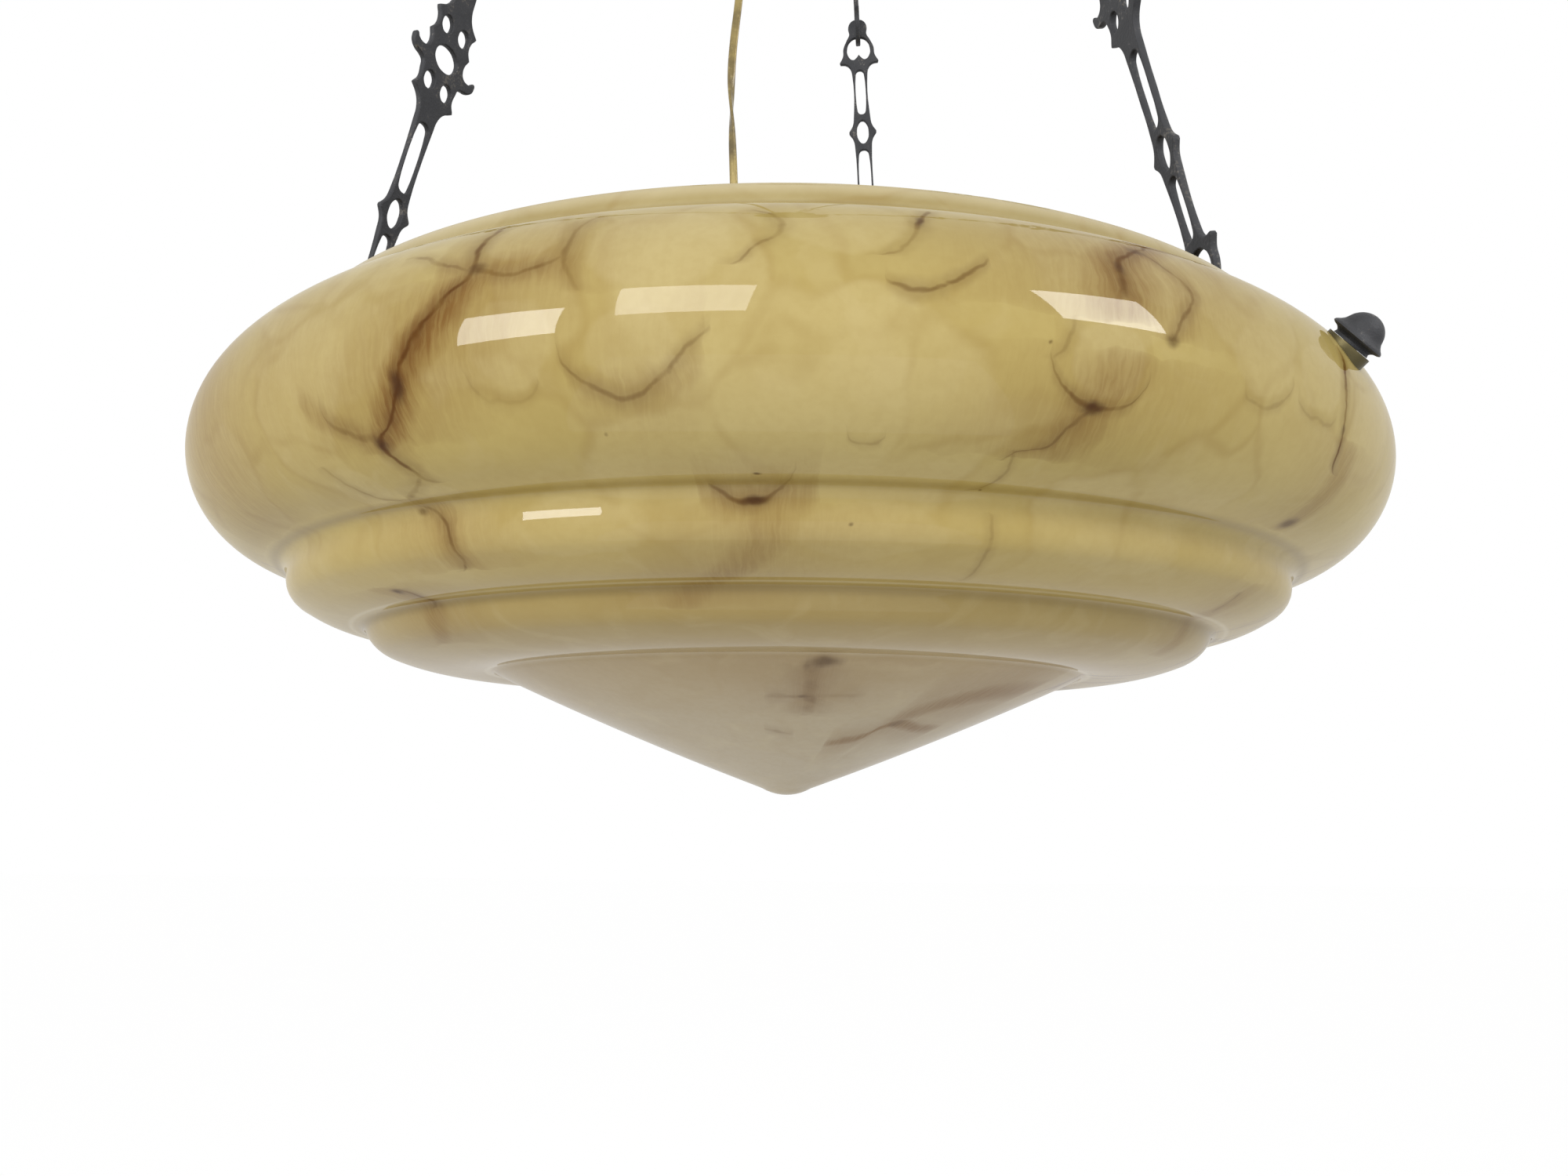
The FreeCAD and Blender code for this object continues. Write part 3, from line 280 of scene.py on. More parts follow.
# %% Lines of the chains and studs
STUD_ANGLE = math.radians(28)
STUD_TILT = math.radians(38)
STUD_REACH = 34
CHAIN_LONG = 702.5
LINK_PITCH = 250.6
HANGING_GAP = 0.15
ARM_EYE_MAJOR = 8
ARM_EYE_MINOR = 2.5
ARM_EYE_HANG = 2 * ARM_EYE_MAJOR - ARM_EYE_MINOR - HANGING_GAP
CROWN_REACH = 36.6
CHAIN_AZIMUTHS = {1: -43.5, 2: 72.3, 3: 192}
CHAIN_TWISTS = {1: 139, 2: 103, 3: 51}
CONNECTORS = {1: 52, 2: 65.5, 3: 71}

stud_out = BOWL_RADIUS - UPPER_ROLL + UPPER_ROLL * math.cos(STUD_ANGLE)
stud_up = UPPER_ROLL * math.sin(STUD_ANGLE)
eye_out = stud_out - STUD_REACH * math.cos(STUD_TILT)
eye_up = stud_up - STUD_REACH * math.sin(STUD_TILT)
chain_lean = math.asin((eye_out - CROWN_REACH) / CHAIN_LONG)


def round_axis(chain):
    return Matrix.Rotation(math.radians(CHAIN_AZIMUTHS[chain]), 4, "Z")


def on_chain(chain, along, twist):
    """A place along a chain from its stud's eye, turned about the chain's own line."""
    start = Matrix.Translation((eye_out * MM, 0, bowl_level + eye_up * MM))
    leaning = round_axis(chain) @ start @ Matrix.Rotation(-chain_lean, 4, "Y")
    turned = Matrix.Rotation(math.radians(twist), 4, "Z")
    return leaning @ Matrix.Translation((0, 0, along * MM)) @ turned


def on_stud(chain):
    """A place on a stud, Z outward along it from the glass's outer face."""
    start = Matrix.Translation((stud_out * MM, 0, bowl_level + stud_up * MM))
    return round_axis(chain) @ start @ Matrix.Rotation(math.pi / 2 - STUD_TILT, 4, "Y")


print("chain lean", round(math.degrees(chain_lean), 3))

# %% [markdown]
# A long link is a flat, pierced casting: a domed head, a heart-shaped eye with horns, a slot, an
# oval knot, a second slot, and in its middle a ring between four panes with two curled flukes. A
# short link fills the rest up to the crown. Two-dimensional curves with holes, given thickness and
# a rounded bevel, have the soft edges of a sand casting, which a plain extruded face would lack.

# %% Loops of a casting
def add_loop(curve, points, corners=()):
    """Add a closed outline; points named in corners stay sharp, the rest are smooth."""
    spline = curve.splines.new("BEZIER")
    spline.bezier_points.add(len(points) - 1)
    for index, (across, up) in enumerate(points):
        knot = spline.bezier_points[index]
        knot.co = (across * MM, up * MM, 0)
        kind = "VECTOR" if index in corners else "AUTO"
        knot.handle_left_type = kind
        knot.handle_right_type = kind
    spline.use_cyclic_u = True
    spline.resolution_u = 5


def mirrored(right, top, bottom):
    """A whole outline from its right side, listed from top to bottom."""
    left = [(-across, up) for across, up in reversed(right)]
    return [top] + right + [bottom] + left


def oval(half_wide, half_tall, middle, side=0):
    """An oval window as eight smooth points."""
    turns = [math.pi / 4 * index for index in range(8)]
    return [(side + half_wide * math.sin(turn), middle + half_tall * math.cos(turn)) for turn in turns]


def slot_outline(half_wide, low, high):
    """A long window with rounded ends."""
    reach = half_wide * 0.72
    right = [
        (reach, high - half_wide * 0.3),
        (half_wide, high - half_wide * 1.1),
        (half_wide, low + half_wide * 1.1),
        (reach, low + half_wide * 0.3),
    ]
    return mirrored(right, (0, high), (0, low))


print("points round a slot", len(slot_outline(2.5, 0, 40)))

# %% [markdown]
# Only the right side of a link is drawn, in millimetres from its middle, and the left is its mirror
# image. Head and foot are measured from the bearing, where one link hangs in the next, so a link of
# any length gets the same ends. A scaled copy of one casting would stretch them.

# %% Sides of a link
LINK_EYE = 6.8


def link_ends(bearing):
    """The right side of a link's head and of its foot, each from the top down."""
    eye = bearing - LINK_EYE
    head = [
        (3.3, bearing + 9.2), (5.2, bearing + 6.2), (4.9, bearing + 2.0), (6.6, eye + 5.6),
        (8.6, eye + 1.2), (9.0, eye - 2.8), (11.0, eye - 6.4), (10.6, eye - 7.4), (7.4, eye - 7.9),
        (5.2, eye - 10), (4.3, eye - 14),
    ]
    foot = [
        (4.3, 14 - eye), (5.2, 10 - eye), (7.4, 7.9 - eye), (10.6, 7.4 - eye), (11.0, 6.4 - eye),
        (9.0, 2.8 - eye), (8.6, -eye - 1.2), (7.0, -eye - 5.2), (3.8, -bearing - 2.4),
    ]
    return head, foot


def knot_side(level):
    """The right side of an oval knot with its barb."""
    return [
        (4.7, level + 8.6), (5.5, level + 4), (7.7, level + 0.5),
        (7.7, level - 0.5), (5.5, level - 4), (4.8, level - 8.6),
    ]


ORNAMENT = [
    (4.9, 31), (5.3, 26), (7.2, 21.8), (11.0, 18.5), (10.7, 17.6), (9.3, 14.8), (9.2, 11), (11.0, 7.6),
    (10.7, 6.9), (9.7, 4.2), (9.7, 1.2), (10.9, -0.9), (13.2, -1.5), (15.2, -0.7), (16.3, 0.7),
    (17.2, 0.5), (17.5, -1.4), (16.8, -3.8), (14.6, -5.6), (12.0, -6.3), (10.2, -7.4), (9.6, -10),
    (9.3, -14.8), (10.7, -17.6), (11.0, -18.5), (7.2, -21.8), (5.3, -26), (4.9, -31),
]
# points at these distances from the middle line are horns and barbs, which stay sharp
SHARP_AT = (11.0, 10.6, 10.7, 7.7)
print("points down the ornament's side", len(ORNAMENT))

# %% [markdown]
# A casting is a filled curve with its windows as further loops. The bevel adds width all round, so
# the curve is first offset inward by the same amount and keeps its drawn size. A Boolean modifier
# could cut the windows from a plate, but its edges would have to be rounded afterwards.

# %% Castings
LINK_THICK = 2.6
LINK_BEVEL = 0.6
LINK_CREASE = math.radians(50)
KNOT_SET = 52.5
KNOT_GAP = 10
KNOT_WINDOW = (3.3, 6.35)
SLOT_SET = 11.4
ORNAMENT_REACH = 31
PANE = (2.7, 3.8)


def link_mesh(name, pitch, middle, windows):
    """A link's casting from the right side between its ends and the windows in it."""
    bearing = pitch / 2 + HANGING_GAP
    eye = bearing - LINK_EYE
    curve = bpy.data.curves.new(name, "CURVE")
    curve.dimensions = "2D"
    curve.fill_mode = "BOTH"
    curve.extrude = (LINK_THICK / 2 - LINK_BEVEL) * MM
    curve.bevel_depth = LINK_BEVEL * MM
    curve.offset = -LINK_BEVEL * MM
    curve.bevel_resolution = 2
    head, foot = link_ends(bearing)
    right = head + middle + foot
    sharp = {index + 1 for index, (across, _) in enumerate(right) if across in SHARP_AT}
    whole = mirrored(right, (0, bearing + 10), (0, -bearing - 3.2))
    sharp |= {len(whole) - index for index in sharp}
    add_loop(curve, whole, sharp)
    heart = [(4.5, eye + 5.2), (6.5, eye + 0.8), (5.8, eye - 3.2), (3.4, eye - 5.2), (1.3, eye - 4.0)]
    add_loop(curve, mirrored(heart, (0, eye + LINK_EYE), (0, eye - 2.4)), {6})
    add_loop(curve, oval(6.6, LINK_EYE, -eye))
    for window in windows:
        add_loop(curve, window)
    holder = bpy.data.objects.new(name, curve)
    bpy.context.scene.collection.objects.link(holder)
    mesh = bpy.data.meshes.new_from_object(holder.evaluated_get(bpy.context.evaluated_depsgraph_get()))
    bpy.data.objects.remove(holder)
    bpy.data.curves.remove(curve)
    mesh.name = name
    mesh.transform(Matrix.Rotation(math.pi / 2, 4, "X"))
    mesh.shade_smooth()
    mesh.set_sharp_from_angle(angle=LINK_CREASE)
    return mesh


def long_link_mesh():
    bearing = LINK_PITCH / 2 + HANGING_GAP
    level = bearing - KNOT_SET
    top = bearing - LINK_EYE - SLOT_SET
    windows = [
        slot_outline(2.4, level + KNOT_GAP, top),
        oval(*KNOT_WINDOW, level),
        slot_outline(2.9, ORNAMENT_REACH, level - KNOT_GAP),
        oval(6.0, 5.5, 0),
        slot_outline(2.9, KNOT_GAP - level, -ORNAMENT_REACH),
        oval(*KNOT_WINDOW, -level),
        slot_outline(2.4, -top, -level - KNOT_GAP),
    ]
    windows += [oval(*PANE, middle, side) for middle in (13.7, -13.0) for side in (-4.7, 4.7)]
    sides = knot_side(level) + ORNAMENT + knot_side(-level)
    return link_mesh("long_link", LINK_PITCH, sides, windows)


def short_link_mesh(name, pitch):
    top = pitch / 2 + HANGING_GAP - LINK_EYE - SLOT_SET
    windows = [
        slot_outline(2.5, KNOT_GAP, top),
        oval(*KNOT_WINDOW, 0),
        slot_outline(2.5, -top, -KNOT_GAP),
    ]
    return link_mesh(name, pitch, knot_side(0), windows)


casting = long_link_mesh()
print("faces of a long link", len(casting.polygons))

# %% [markdown]
# Each chain has two long links and a short one, each a quarter turn on from the one below, as links
# that hang in each other are. All long links share one mesh, so a change to the casting shows in
# all of them.

# %% Links in place
links = []


def hang_link(name, mesh, chain, along, twist):
    link = bpy.data.objects.new(f"cast_{name}", mesh)
    bpy.context.scene.collection.objects.link(link)
    link.matrix_world = on_chain(chain, along, twist)
    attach(link, "pendant")
    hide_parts(name)
    links.append(link)


for chain, start in CONNECTORS.items():
    twist = CHAIN_TWISTS[chain]
    hang_link(f"link_{chain}_1", casting, chain, start + 0.5 * LINK_PITCH, twist)
    hang_link(f"link_{chain}_2", casting, chain, start + 1.5 * LINK_PITCH, twist + 90)
    rest = CHAIN_LONG - ARM_EYE_HANG - start - 2 * LINK_PITCH
    short = short_link_mesh(f"short_link_{chain}", rest)
    hang_link(f"top_link_{chain}", short, chain, start + 2 * LINK_PITCH + rest / 2, twist + 180)
print("links", len(links))

# %% [markdown]
# Each finial is a turned cap nut with a sharp brim and a domed knob. It clamps the glass from
# outside and turns on its stud, so it rides on a body of its own. It is turned from an outline as
# the bowl is.

# %% Finials
FINIAL_SEAT = 1.5
FINIAL_STEP = 0.5
FINIAL_COLUMNS = 48
finial_outline = [
    (2.55, FINIAL_SEAT),
    (6.0, FINIAL_SEAT),
    (5.7, FINIAL_SEAT + 0.9),
    (7.2, FINIAL_SEAT + 1.9, 2, -1),
    (8.4, FINIAL_SEAT + 2.5, 2, 1),
    (7.9, FINIAL_SEAT + 3.3, 1.0, 1),
    (6.3, FINIAL_SEAT + 4.9, 5, -1),
    (5.6, FINIAL_SEAT + 6.6),
    (0, FINIAL_SEAT + 9.9, 6.4, 1),
]
finial_points = outline_points(finial_outline, FINIAL_STEP)
finials = []
for chain in CHAIN_AZIMUTHS:
    mesh = turned_mesh(f"finial_nut_{chain}", finial_points, FINIAL_COLUMNS, on_stud(chain))
    nut = piece_from_mesh(f"finial_nut_{chain}", mesh, f"finial_{chain}")
    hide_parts(f"finial_{chain}")
    finials.append(nut)

# %% [markdown]
# The lamp hangs on a flat two-core cord with a gold sheath. Its route is a smooth NURBS line led by
# given points: out of the bush, past the ring, through the crown and down to the lampholder,
# with the small sway that it has above the lip. A Bezier curve would need handles at each point as
# well.

# %% Route of the cord
PIVOT = -139.6 * MM
ARM_LEVEL = -174.8 * MM
BUSH_EXIT = -94.9 * MM
LAMP_TOP = bowl_level + 60 * MM
CORD_MIDDLE = Vector((-14 * MM, 8 * MM, PIVOT - 2 * MM))
UPPER_ROUTE = [
    Vector((0, 0, BUSH_EXIT)),
    Vector((0, 0, BUSH_EXIT - 5 * MM)),
    Vector((-11 * MM, 9 * MM, PIVOT + 22 * MM)),
    CORD_MIDDLE,
]
DROP_ROUTE = [
    CORD_MIDDLE,
    Vector((-15.2 * MM, 7.6 * MM, PIVOT - 11 * MM)),
    Vector((-21 * MM, 6 * MM, ARM_LEVEL + 12 * MM)),
    Vector((-21 * MM, 6 * MM, ARM_LEVEL - 14 * MM)),
    Vector((-22.5 * MM, 5.5 * MM, bowl_level + 300 * MM)),
    Vector((-24.2 * MM, 5 * MM, bowl_level + 252 * MM)),
    Vector((-28.2 * MM, 5 * MM, bowl_level + 214 * MM)),
    Vector((-27.6 * MM, 5 * MM, bowl_level + 186 * MM)),
    Vector((-25.8 * MM, 4.5 * MM, bowl_level + 152 * MM)),
    Vector((-24 * MM, 4 * MM, LAMP_TOP + 40 * MM)),
    Vector((-24 * MM, 4 * MM, LAMP_TOP - 5.5 * MM)),
]
NURBS_ORDER = 3
NURBS_FINENESS = 40
INNER_RUNS = 12


def route_line(name, route):
    """Points read from a smooth NURBS line through a route."""
    curve = bpy.data.curves.new(name, "CURVE")
    curve.dimensions = "3D"
    spline = curve.splines.new("NURBS")
    spline.points.add(len(route) - 1)
    for point, place in zip(spline.points, route):
        point.co = (*place, 1)
    spline.order_u = NURBS_ORDER
    spline.use_endpoint_u = True
    spline.resolution_u = NURBS_FINENESS
    holder = bpy.data.objects.new(name, curve)
    bpy.context.scene.collection.objects.link(holder)
    line = bpy.data.meshes.new_from_object(holder.evaluated_get(bpy.context.evaluated_depsgraph_get()))
    points = [vertex.co.copy() for vertex in line.vertices]
    bpy.data.objects.remove(holder)
    return points


def line_length(points):
    return sum((after - before).length for before, after in zip(points, points[1:]))


upper_line = route_line("cord_upper_route", UPPER_ROUTE)
drop_line = route_line("cord_drop_route", DROP_ROUTE)
inner_rise = (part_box("cord_inner")[1].z - BUSH_EXIT) / INNER_RUNS
inner_line = [Vector((0, 0, BUSH_EXIT + inner_rise * run)) for run in range(INNER_RUNS + 1)]
print("cord lengths", [round(line_length(line), 3) for line in (inner_line, upper_line, drop_line)])

# %% [markdown]
# A section with two lobes is swept along each line. A curve with a bevel object could sweep it too,
# but here the section can turn with the height, so the ribbon shows its flat side, its edge and its
# flat side again, as it does in the photograph. A round tube would lose that look.

# %% Flat section with a half turn
CORD_WIDE = 3.7 * MM
CORD_THICK = 1.9 * MM
SECTION_POINTS = 20
TWIST_START = math.radians(5)
TWIST_LEVEL = 190
TWIST_EASE = 9


def two_lobes(share):
    """The cord's section, two cores side by side under one sheath, at a share of its full size."""
    section = []
    for index in range(SECTION_POINTS):
        angle = 2 * math.pi * index / SECTION_POINTS
        waist = 1 - 0.22 * abs(math.sin(angle)) ** 6
        bulge = 0.9 + 0.25 * abs(math.cos(angle))
        across = CORD_WIDE / 2 * math.cos(angle)
        section.append(Vector((across, CORD_THICK / 2 * math.sin(angle) * bulge * waist, 0)) * share)
    return section


def lazy_twist(height):
    """The ribbon's turn at a height: a half turn, centred a hand's breadth above the lip."""
    above = (height - bowl_level) / MM
    return TWIST_START + math.pi / (1 + math.exp(-(above - TWIST_LEVEL) / TWIST_EASE))


def cord_mesh(name, points, share=1.0):
    """Sweep the section along points; its own side direction is carried on from point to point."""
    mesh = bpy.data.meshes.new(name)
    shape = bmesh.new()
    section = two_lobes(share)
    rows = []
    side = Vector((1, 0, 0))
    for index, point in enumerate(points):
        ahead = (points[min(index + 1, len(points) - 1)] - points[max(index - 1, 0)]).normalized()
        side = (side - ahead * side.dot(ahead)).normalized()
        frame_turn = Matrix((side, ahead.cross(side), ahead)).transposed().to_4x4()
        across = Matrix.Translation(point) @ frame_turn @ Matrix.Rotation(lazy_twist(point.z), 4, "Z")
        rows.append([shape.verts.new(across @ corner) for corner in section])
    for low, high in zip(rows, rows[1:]):
        for index in range(len(section)):
            following = (index + 1) % len(section)
            shape.faces.new((low[index], low[following], high[following], high[index]))
    shape.faces.new(list(reversed(rows[0])))
    shape.faces.new(rows[-1])
    bmesh.ops.recalc_face_normals(shape, faces=shape.faces)
    shape.to_mesh(mesh)
    shape.free()
    return mesh


print("turn of the cord at the lip", round(math.degrees(lazy_twist(lip_level)), 1), "degrees")

# %% [markdown]
# The real cord is one length, and here it is three pieces. The one in the stem stays with the
# ceiling and the long one hangs with the pendant. The one between them bends when the ring swings,
# but here it is a plain mesh that is tied to no body.

# %% Cord in three stretches
INNER_SHARE = 0.84

upper_mesh = cord_mesh("flex_upper", upper_line)
cord_upper = bpy.data.objects.new("flex_upper", upper_mesh)
bpy.context.scene.collection.objects.link(cord_upper)
upper_mesh.shade_smooth()
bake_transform(cord_upper)
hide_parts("cord_upper")
cord_drop = piece_from_mesh("flex_drop", cord_mesh("flex_drop", drop_line), "pendant")
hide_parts("cord_drop")
cord_inner = piece_from_mesh("flex_inner", cord_mesh("flex_inner", inner_line, INNER_SHARE), "fixed")
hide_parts("cord_inner")

# %% [markdown]
# Finishes are written as sums on sockets. A small class wraps a socket so that Python's operators
# add Math nodes. The nodes could be added one by one by hand, but then a sum takes a dozen lines.

# %% Sums on sockets
class Flow:
    """A socket's value, which can be used in sums."""

    def __init__(self, finish, socket):
        self.finish = finish
        self.socket = socket

    def math(self, operation, *values):
        return self.finish.node("Math", {"operation": operation}, dict(enumerate(values)))

    def __add__(self, other):
        return self.math("ADD", self, other)

    def __radd__(self, other):
        return self.math("ADD", other, self)

    def __sub__(self, other):
        return self.math("SUBTRACT", self, other)

    def __rsub__(self, other):
        return self.math("SUBTRACT", other, self)

    def __mul__(self, other):
        return self.math("MULTIPLY", self, other)

    def __rmul__(self, other):
        return self.math("MULTIPLY", other, self)

    def __truediv__(self, other):
        return self.math("DIVIDE", self, other)

    def __rtruediv__(self, other):
        return self.math("DIVIDE", other, self)

    def __abs__(self):
        return self.math("ABSOLUTE", self)

    def smallest(self, other):
        return self.math("MINIMUM", self, other)

    def largest(self, other):
        return self.math("MAXIMUM", self, other)

    def between(self, low, high, top=1.0):
        """0 at low, top at high, smooth in between and level beyond them."""
        return self.finish.node("MapRange", {"interpolation_type": "SMOOTHSTEP"},
                                {"Value": self, "From Min": low, "From Max": high, "To Max": top})


# %% [markdown]
# One method adds any other node: it takes the node's type, its settings and what its sockets are
# fed. A finish is a tree of such nodes round one principled shader. What varies over a surface only
# feeds colour, roughness, metal, coat, alpha and bump, because those can be baked for use
# elsewhere.

# %% Nodes and finishes
class Nodes:
    """A node tree, with one method that adds any node."""

    def __init__(self, tree):
        self.tree = tree

    def node(self, kind, settings=None, values=None, output=0):
        """Add a node, set it up, feed its sockets and return one of its outputs."""
        made = self.tree.nodes.new(f"ShaderNode{kind}")
        for name, setting in (settings or {}).items():
            if name == "stops":
                self.fill_ramp(made.color_ramp, setting)
            elif name == "points":
                self.fill_curve(made.mapping, setting)
            else:
                setattr(made, name, setting)
        for name, value in (values or {}).items():
            self.feed(made.inputs[name], value)
        return Flow(self, made.outputs[output])

    @staticmethod
    def fill_ramp(ramp, stops):
        while len(ramp.elements) < len(stops):
            ramp.elements.new(1)
        for element, (position, colour) in zip(ramp.elements, stops):
            element.position = position
            element.color = (*colour, 1)

    @staticmethod
    def fill_curve(mapping, points):
        curve = mapping.curves[0]
        while len(curve.points) < len(points):
            curve.points.new(1, 1)
        for knot, place in zip(curve.points, points):
            knot.location = place
        mapping.update()

    def feed(self, socket, value):
        if isinstance(value, Flow):
            self.tree.links.new(value.socket, socket)
        elif isinstance(value, tuple) and len(value) == 3 and socket.type == "RGBA":
            socket.default_value = (*value, 1)
        else:
            socket.default_value = value

    def mix(self, share, first, second):
        """A mix of two colours."""
        return self.node("Mix", {"data_type": "RGBA"}, {0: share, 6: first, 7: second}, 2)

    def noise(self, place, scale, detail=3.0, distortion=0.0, output="Fac"):
        values = {"Vector": place, "Scale": scale, "Detail": detail, "Distortion": distortion}
        return self.node("TexNoise", {}, values, output)

    def place(self):
        """Where a point of the object is, in metres."""
        return self.node("TexCoord", {}, {}, "Object")

    def bump(self, height, strength, distance):
        values = {"Height": height, "Strength": strength, "Distance": distance}
        return self.node("Bump", {}, values, "Normal")


class Finish(Nodes):
    """A material with one principled shader."""

    def __init__(self, name):
        self.material = bpy.data.materials.new(name)
        self.material.use_nodes = True
        super().__init__(self.material.node_tree)
        self.shader = self.tree.nodes["Principled BSDF"]

    def shade(self, **sockets):
        for name, value in sockets.items():
            self.feed(self.shader.inputs[name.replace("_", " ")], value)
        return self.material


def srgb(red, green, blue):
    """A screen colour, 0 to 255, as the linear colour that a shader takes."""
    def linear(level):
        level = level / 255
        return level / 12.92 if level <= 0.04045 else ((level + 0.055) / 1.055) ** 2.4
    return (linear(red), linear(green), linear(blue))


def wear(piece, material):
    """Give a piece one finish all over."""
    piece.data.materials.clear()
    piece.data.materials.append(material)


print("mid grey on screen is", round(srgb(128, 128, 128)[0], 3), "to a shader")

# %% [markdown]
# The glass is cased: a clear coat over swirled, stone-like colour. Its veins, dark knots and pale
# pebbles were placed one by one on the bowl's own map, which is the turn about the axis in degrees and
# the way up from the tip in millimetres. A vein is a smooth curve on that map, and a knot or pebble
# is an oval. Noise stirs the map a little, so that no edge looks drawn.

# %% Veins, knots and pebbles on the map
DEGREE = 3.5
FRONT = -90
# way up the bowl as the run: half width, strength, points (turn, way)
RISING_VEINS = [
    (1.1, 0.85, [(-110.2, 301), (-110.1, 285), (-110.2, 281), (-112.4, 272), (-114.1, 262),
                 (-115.1, 255.6), (-117, 247), (-118.6, 241), (-118.1, 235.6), (-117.3, 229),
                 (-115.4, 226)]),
    (0.9, 0.55, [(-102.6, 298), (-103.7, 290), (-103.9, 284), (-103.6, 279), (-102.7, 271)]),
    (0.9, 0.6, [(-121, 219), (-119.1, 212.3), (-118.3, 204.8), (-118.4, 199), (-120, 195)]),
    (0.8, 0.45, [(-125.8, 238), (-124.5, 229), (-123.4, 224), (-120.5, 221)]),
    (0.8, 0.5, [(-92.6, 297), (-90.6, 287.3), (-91.6, 283), (-93.6, 276.5)]),
    (1.0, 0.65, [(-81.4, 301), (-82.4, 292.3), (-83.1, 285), (-85.3, 279.5)]),
    (1.4, 0.75, [(-64.3, 302), (-66.8, 294.5), (-68.8, 288), (-69.5, 283), (-69.9, 274)]),
    (0.8, 0.55, [(-66.9, 295), (-65.2, 287.3), (-64.3, 280.6), (-64.9, 275.6), (-66.4, 266)]),
    (0.7, 0.35, [(-73, 269), (-73.3, 264), (-74.6, 257)]),
    (0.7, 0.5, [(-71.5, 247.5), (-72.6, 241), (-73.3, 236.5), (-75, 234), (-76, 231)]),
    (0.8, 0.85, [(-46.6, 283), (-47, 279), (-47.4, 261), (-47.3, 257), (-45.4, 246)]),
    (0.7, 0.35, [(-75.1, 235), (-75.4, 224), (-75.9, 219.5), (-77.2, 216.5)]),
    (0.7, 0.3, [(-74.9, 212), (-74.5, 196), (-75.8, 186)]),
    (1.5, 0.55, [(-131.4, 192), (-130, 186), (-131, 177)]),
    (6, 0.4, [(-85.7, 120), (-85.6, 100), (-85.1, 82)]),
    (0.8, 0.4, [(-42, 200), (-41.2, 194), (-40.2, 186)]),
]
# turn about the axis as the run: half width, strength, points (turn, way)
LEVEL_VEINS = [
    (0.9, 0.8, [(-110.6, 283), (-109, 280), (-107, 278.6), (-104.9, 279.8), (-103.9, 284)]),
    (0.9, 0.45, [(-116.6, 292), (-113.4, 287.3), (-109.8, 280.5)]),
    (1.5, 0.55, [(-122.8, 253), (-121.6, 246.5), (-118.4, 243)]),
    (1.1, 0.5, [(-121.2, 221.5), (-118.4, 227.3), (-117, 232)]),
    (0.9, 0.5, [(-104, 260), (-102.2, 249.2), (-100.2, 246.1), (-98.4, 249), (-96.3, 255.6),
                (-94.7, 261.5)]),
    (0.9, 0.6, [(-84.9, 275), (-83.8, 271), (-81.6, 273), (-78.4, 280.5)]),
    (0.8, 0.65, [(-74.8, 259), (-73.4, 251.5), (-71.3, 247.6), (-69.1, 248.8), (-67.9, 261)]),
    (1.0, 0.65, [(-96.2, 218.4), (-92.7, 212.4), (-90.8, 216.4), (-89.9, 230)]),
    (2.2, 0.3, [(-95, 96.6), (-87, 97.6), (-74, 98.4)]),
    (1.4, 0.3, [(-97, 71.5), (-93.4, 69), (-88, 66)]),
    (0.7, 0.25, [(-110.4, 256), (-107.8, 248), (-105.2, 253)]),
    (0.7, 0.3, [(-60.2, 262), (-58.4, 255.6), (-56.3, 257.3), (-54.6, 264)]),
    (0.7, 0.25, [(-54, 262), (-51.6, 257.4), (-48.6, 260)]),
    (0.6, 0.3, [(-86.8, 238), (-85.2, 233.4), (-84.2, 237)]),
]
# soft smoky bands, first those with the way as the run, then those with the turn
RISING_SMOKE_AND_SHADE = [
    (9, 0.9, [(-109.8, 282), (-111.6, 272), (-113.9, 261), (-115.8, 252), (-118.6, 238)]),
    (8, 0.5, [(-121, 222), (-118.8, 210), (-118.6, 196)]),
    (9, 0.45, [(-91.4, 213), (-92.5, 201), (-95.5, 188), (-101, 172)]),
    (12, 0.7, [(-63, 306), (-67, 294), (-69.4, 284), (-69.8, 268)]),
    (10, 0.55, [(-69.4, 262), (-71.3, 247), (-73.6, 232)]),
    (7, 0.4, [(-66.4, 296), (-64.8, 284), (-66.2, 266)]),
    (6, 0.35, [(-102.8, 298), (-103.8, 286), (-102.8, 270)]),
    (7.0, 0.45, [(-46, 256), (-44.2, 238), (-44.4, 222)]),
    (9.0, 0.5, [(-133, 194), (-131, 184), (-137, 160)]),
    (8.0, 0.4, [(-41, 205), (-40, 190), (-36, 160)]),
    (14.0, 0.3, [(-84, 126), (-85.5, 108), (-86, 84)]),
    # the broad band at the far left is partly a grey smoky patch in the glass and partly painted shade
    # on that side
    (38, 0.38, [(-147, 292), (-142, 258), (-145, 222)]),
]
LEVEL_SMOKE = [
    (4.5, 0.7, [(-76, 58), (-64.9, 64), (-58.4, 76.8), (-50.6, 75), (-38, 73)]),
    (10, 0.6, [(-62, 78), (-54, 92), (-46, 102), (-30, 110)]),
    (6, 0.5, [(-125, 256), (-121.4, 247), (-116, 240)]),
    (7, 0.5, [(-113, 284), (-109, 280), (-102, 279)]),
    (6, 0.35, [(-103.6, 258), (-100, 247), (-95, 260)]),
    (6, 0.35, [(-74.6, 256), (-71.3, 248), (-68, 260)]),
    (6, 0.45, [(-97, 219), (-92.7, 213), (-88, 219)]),
]
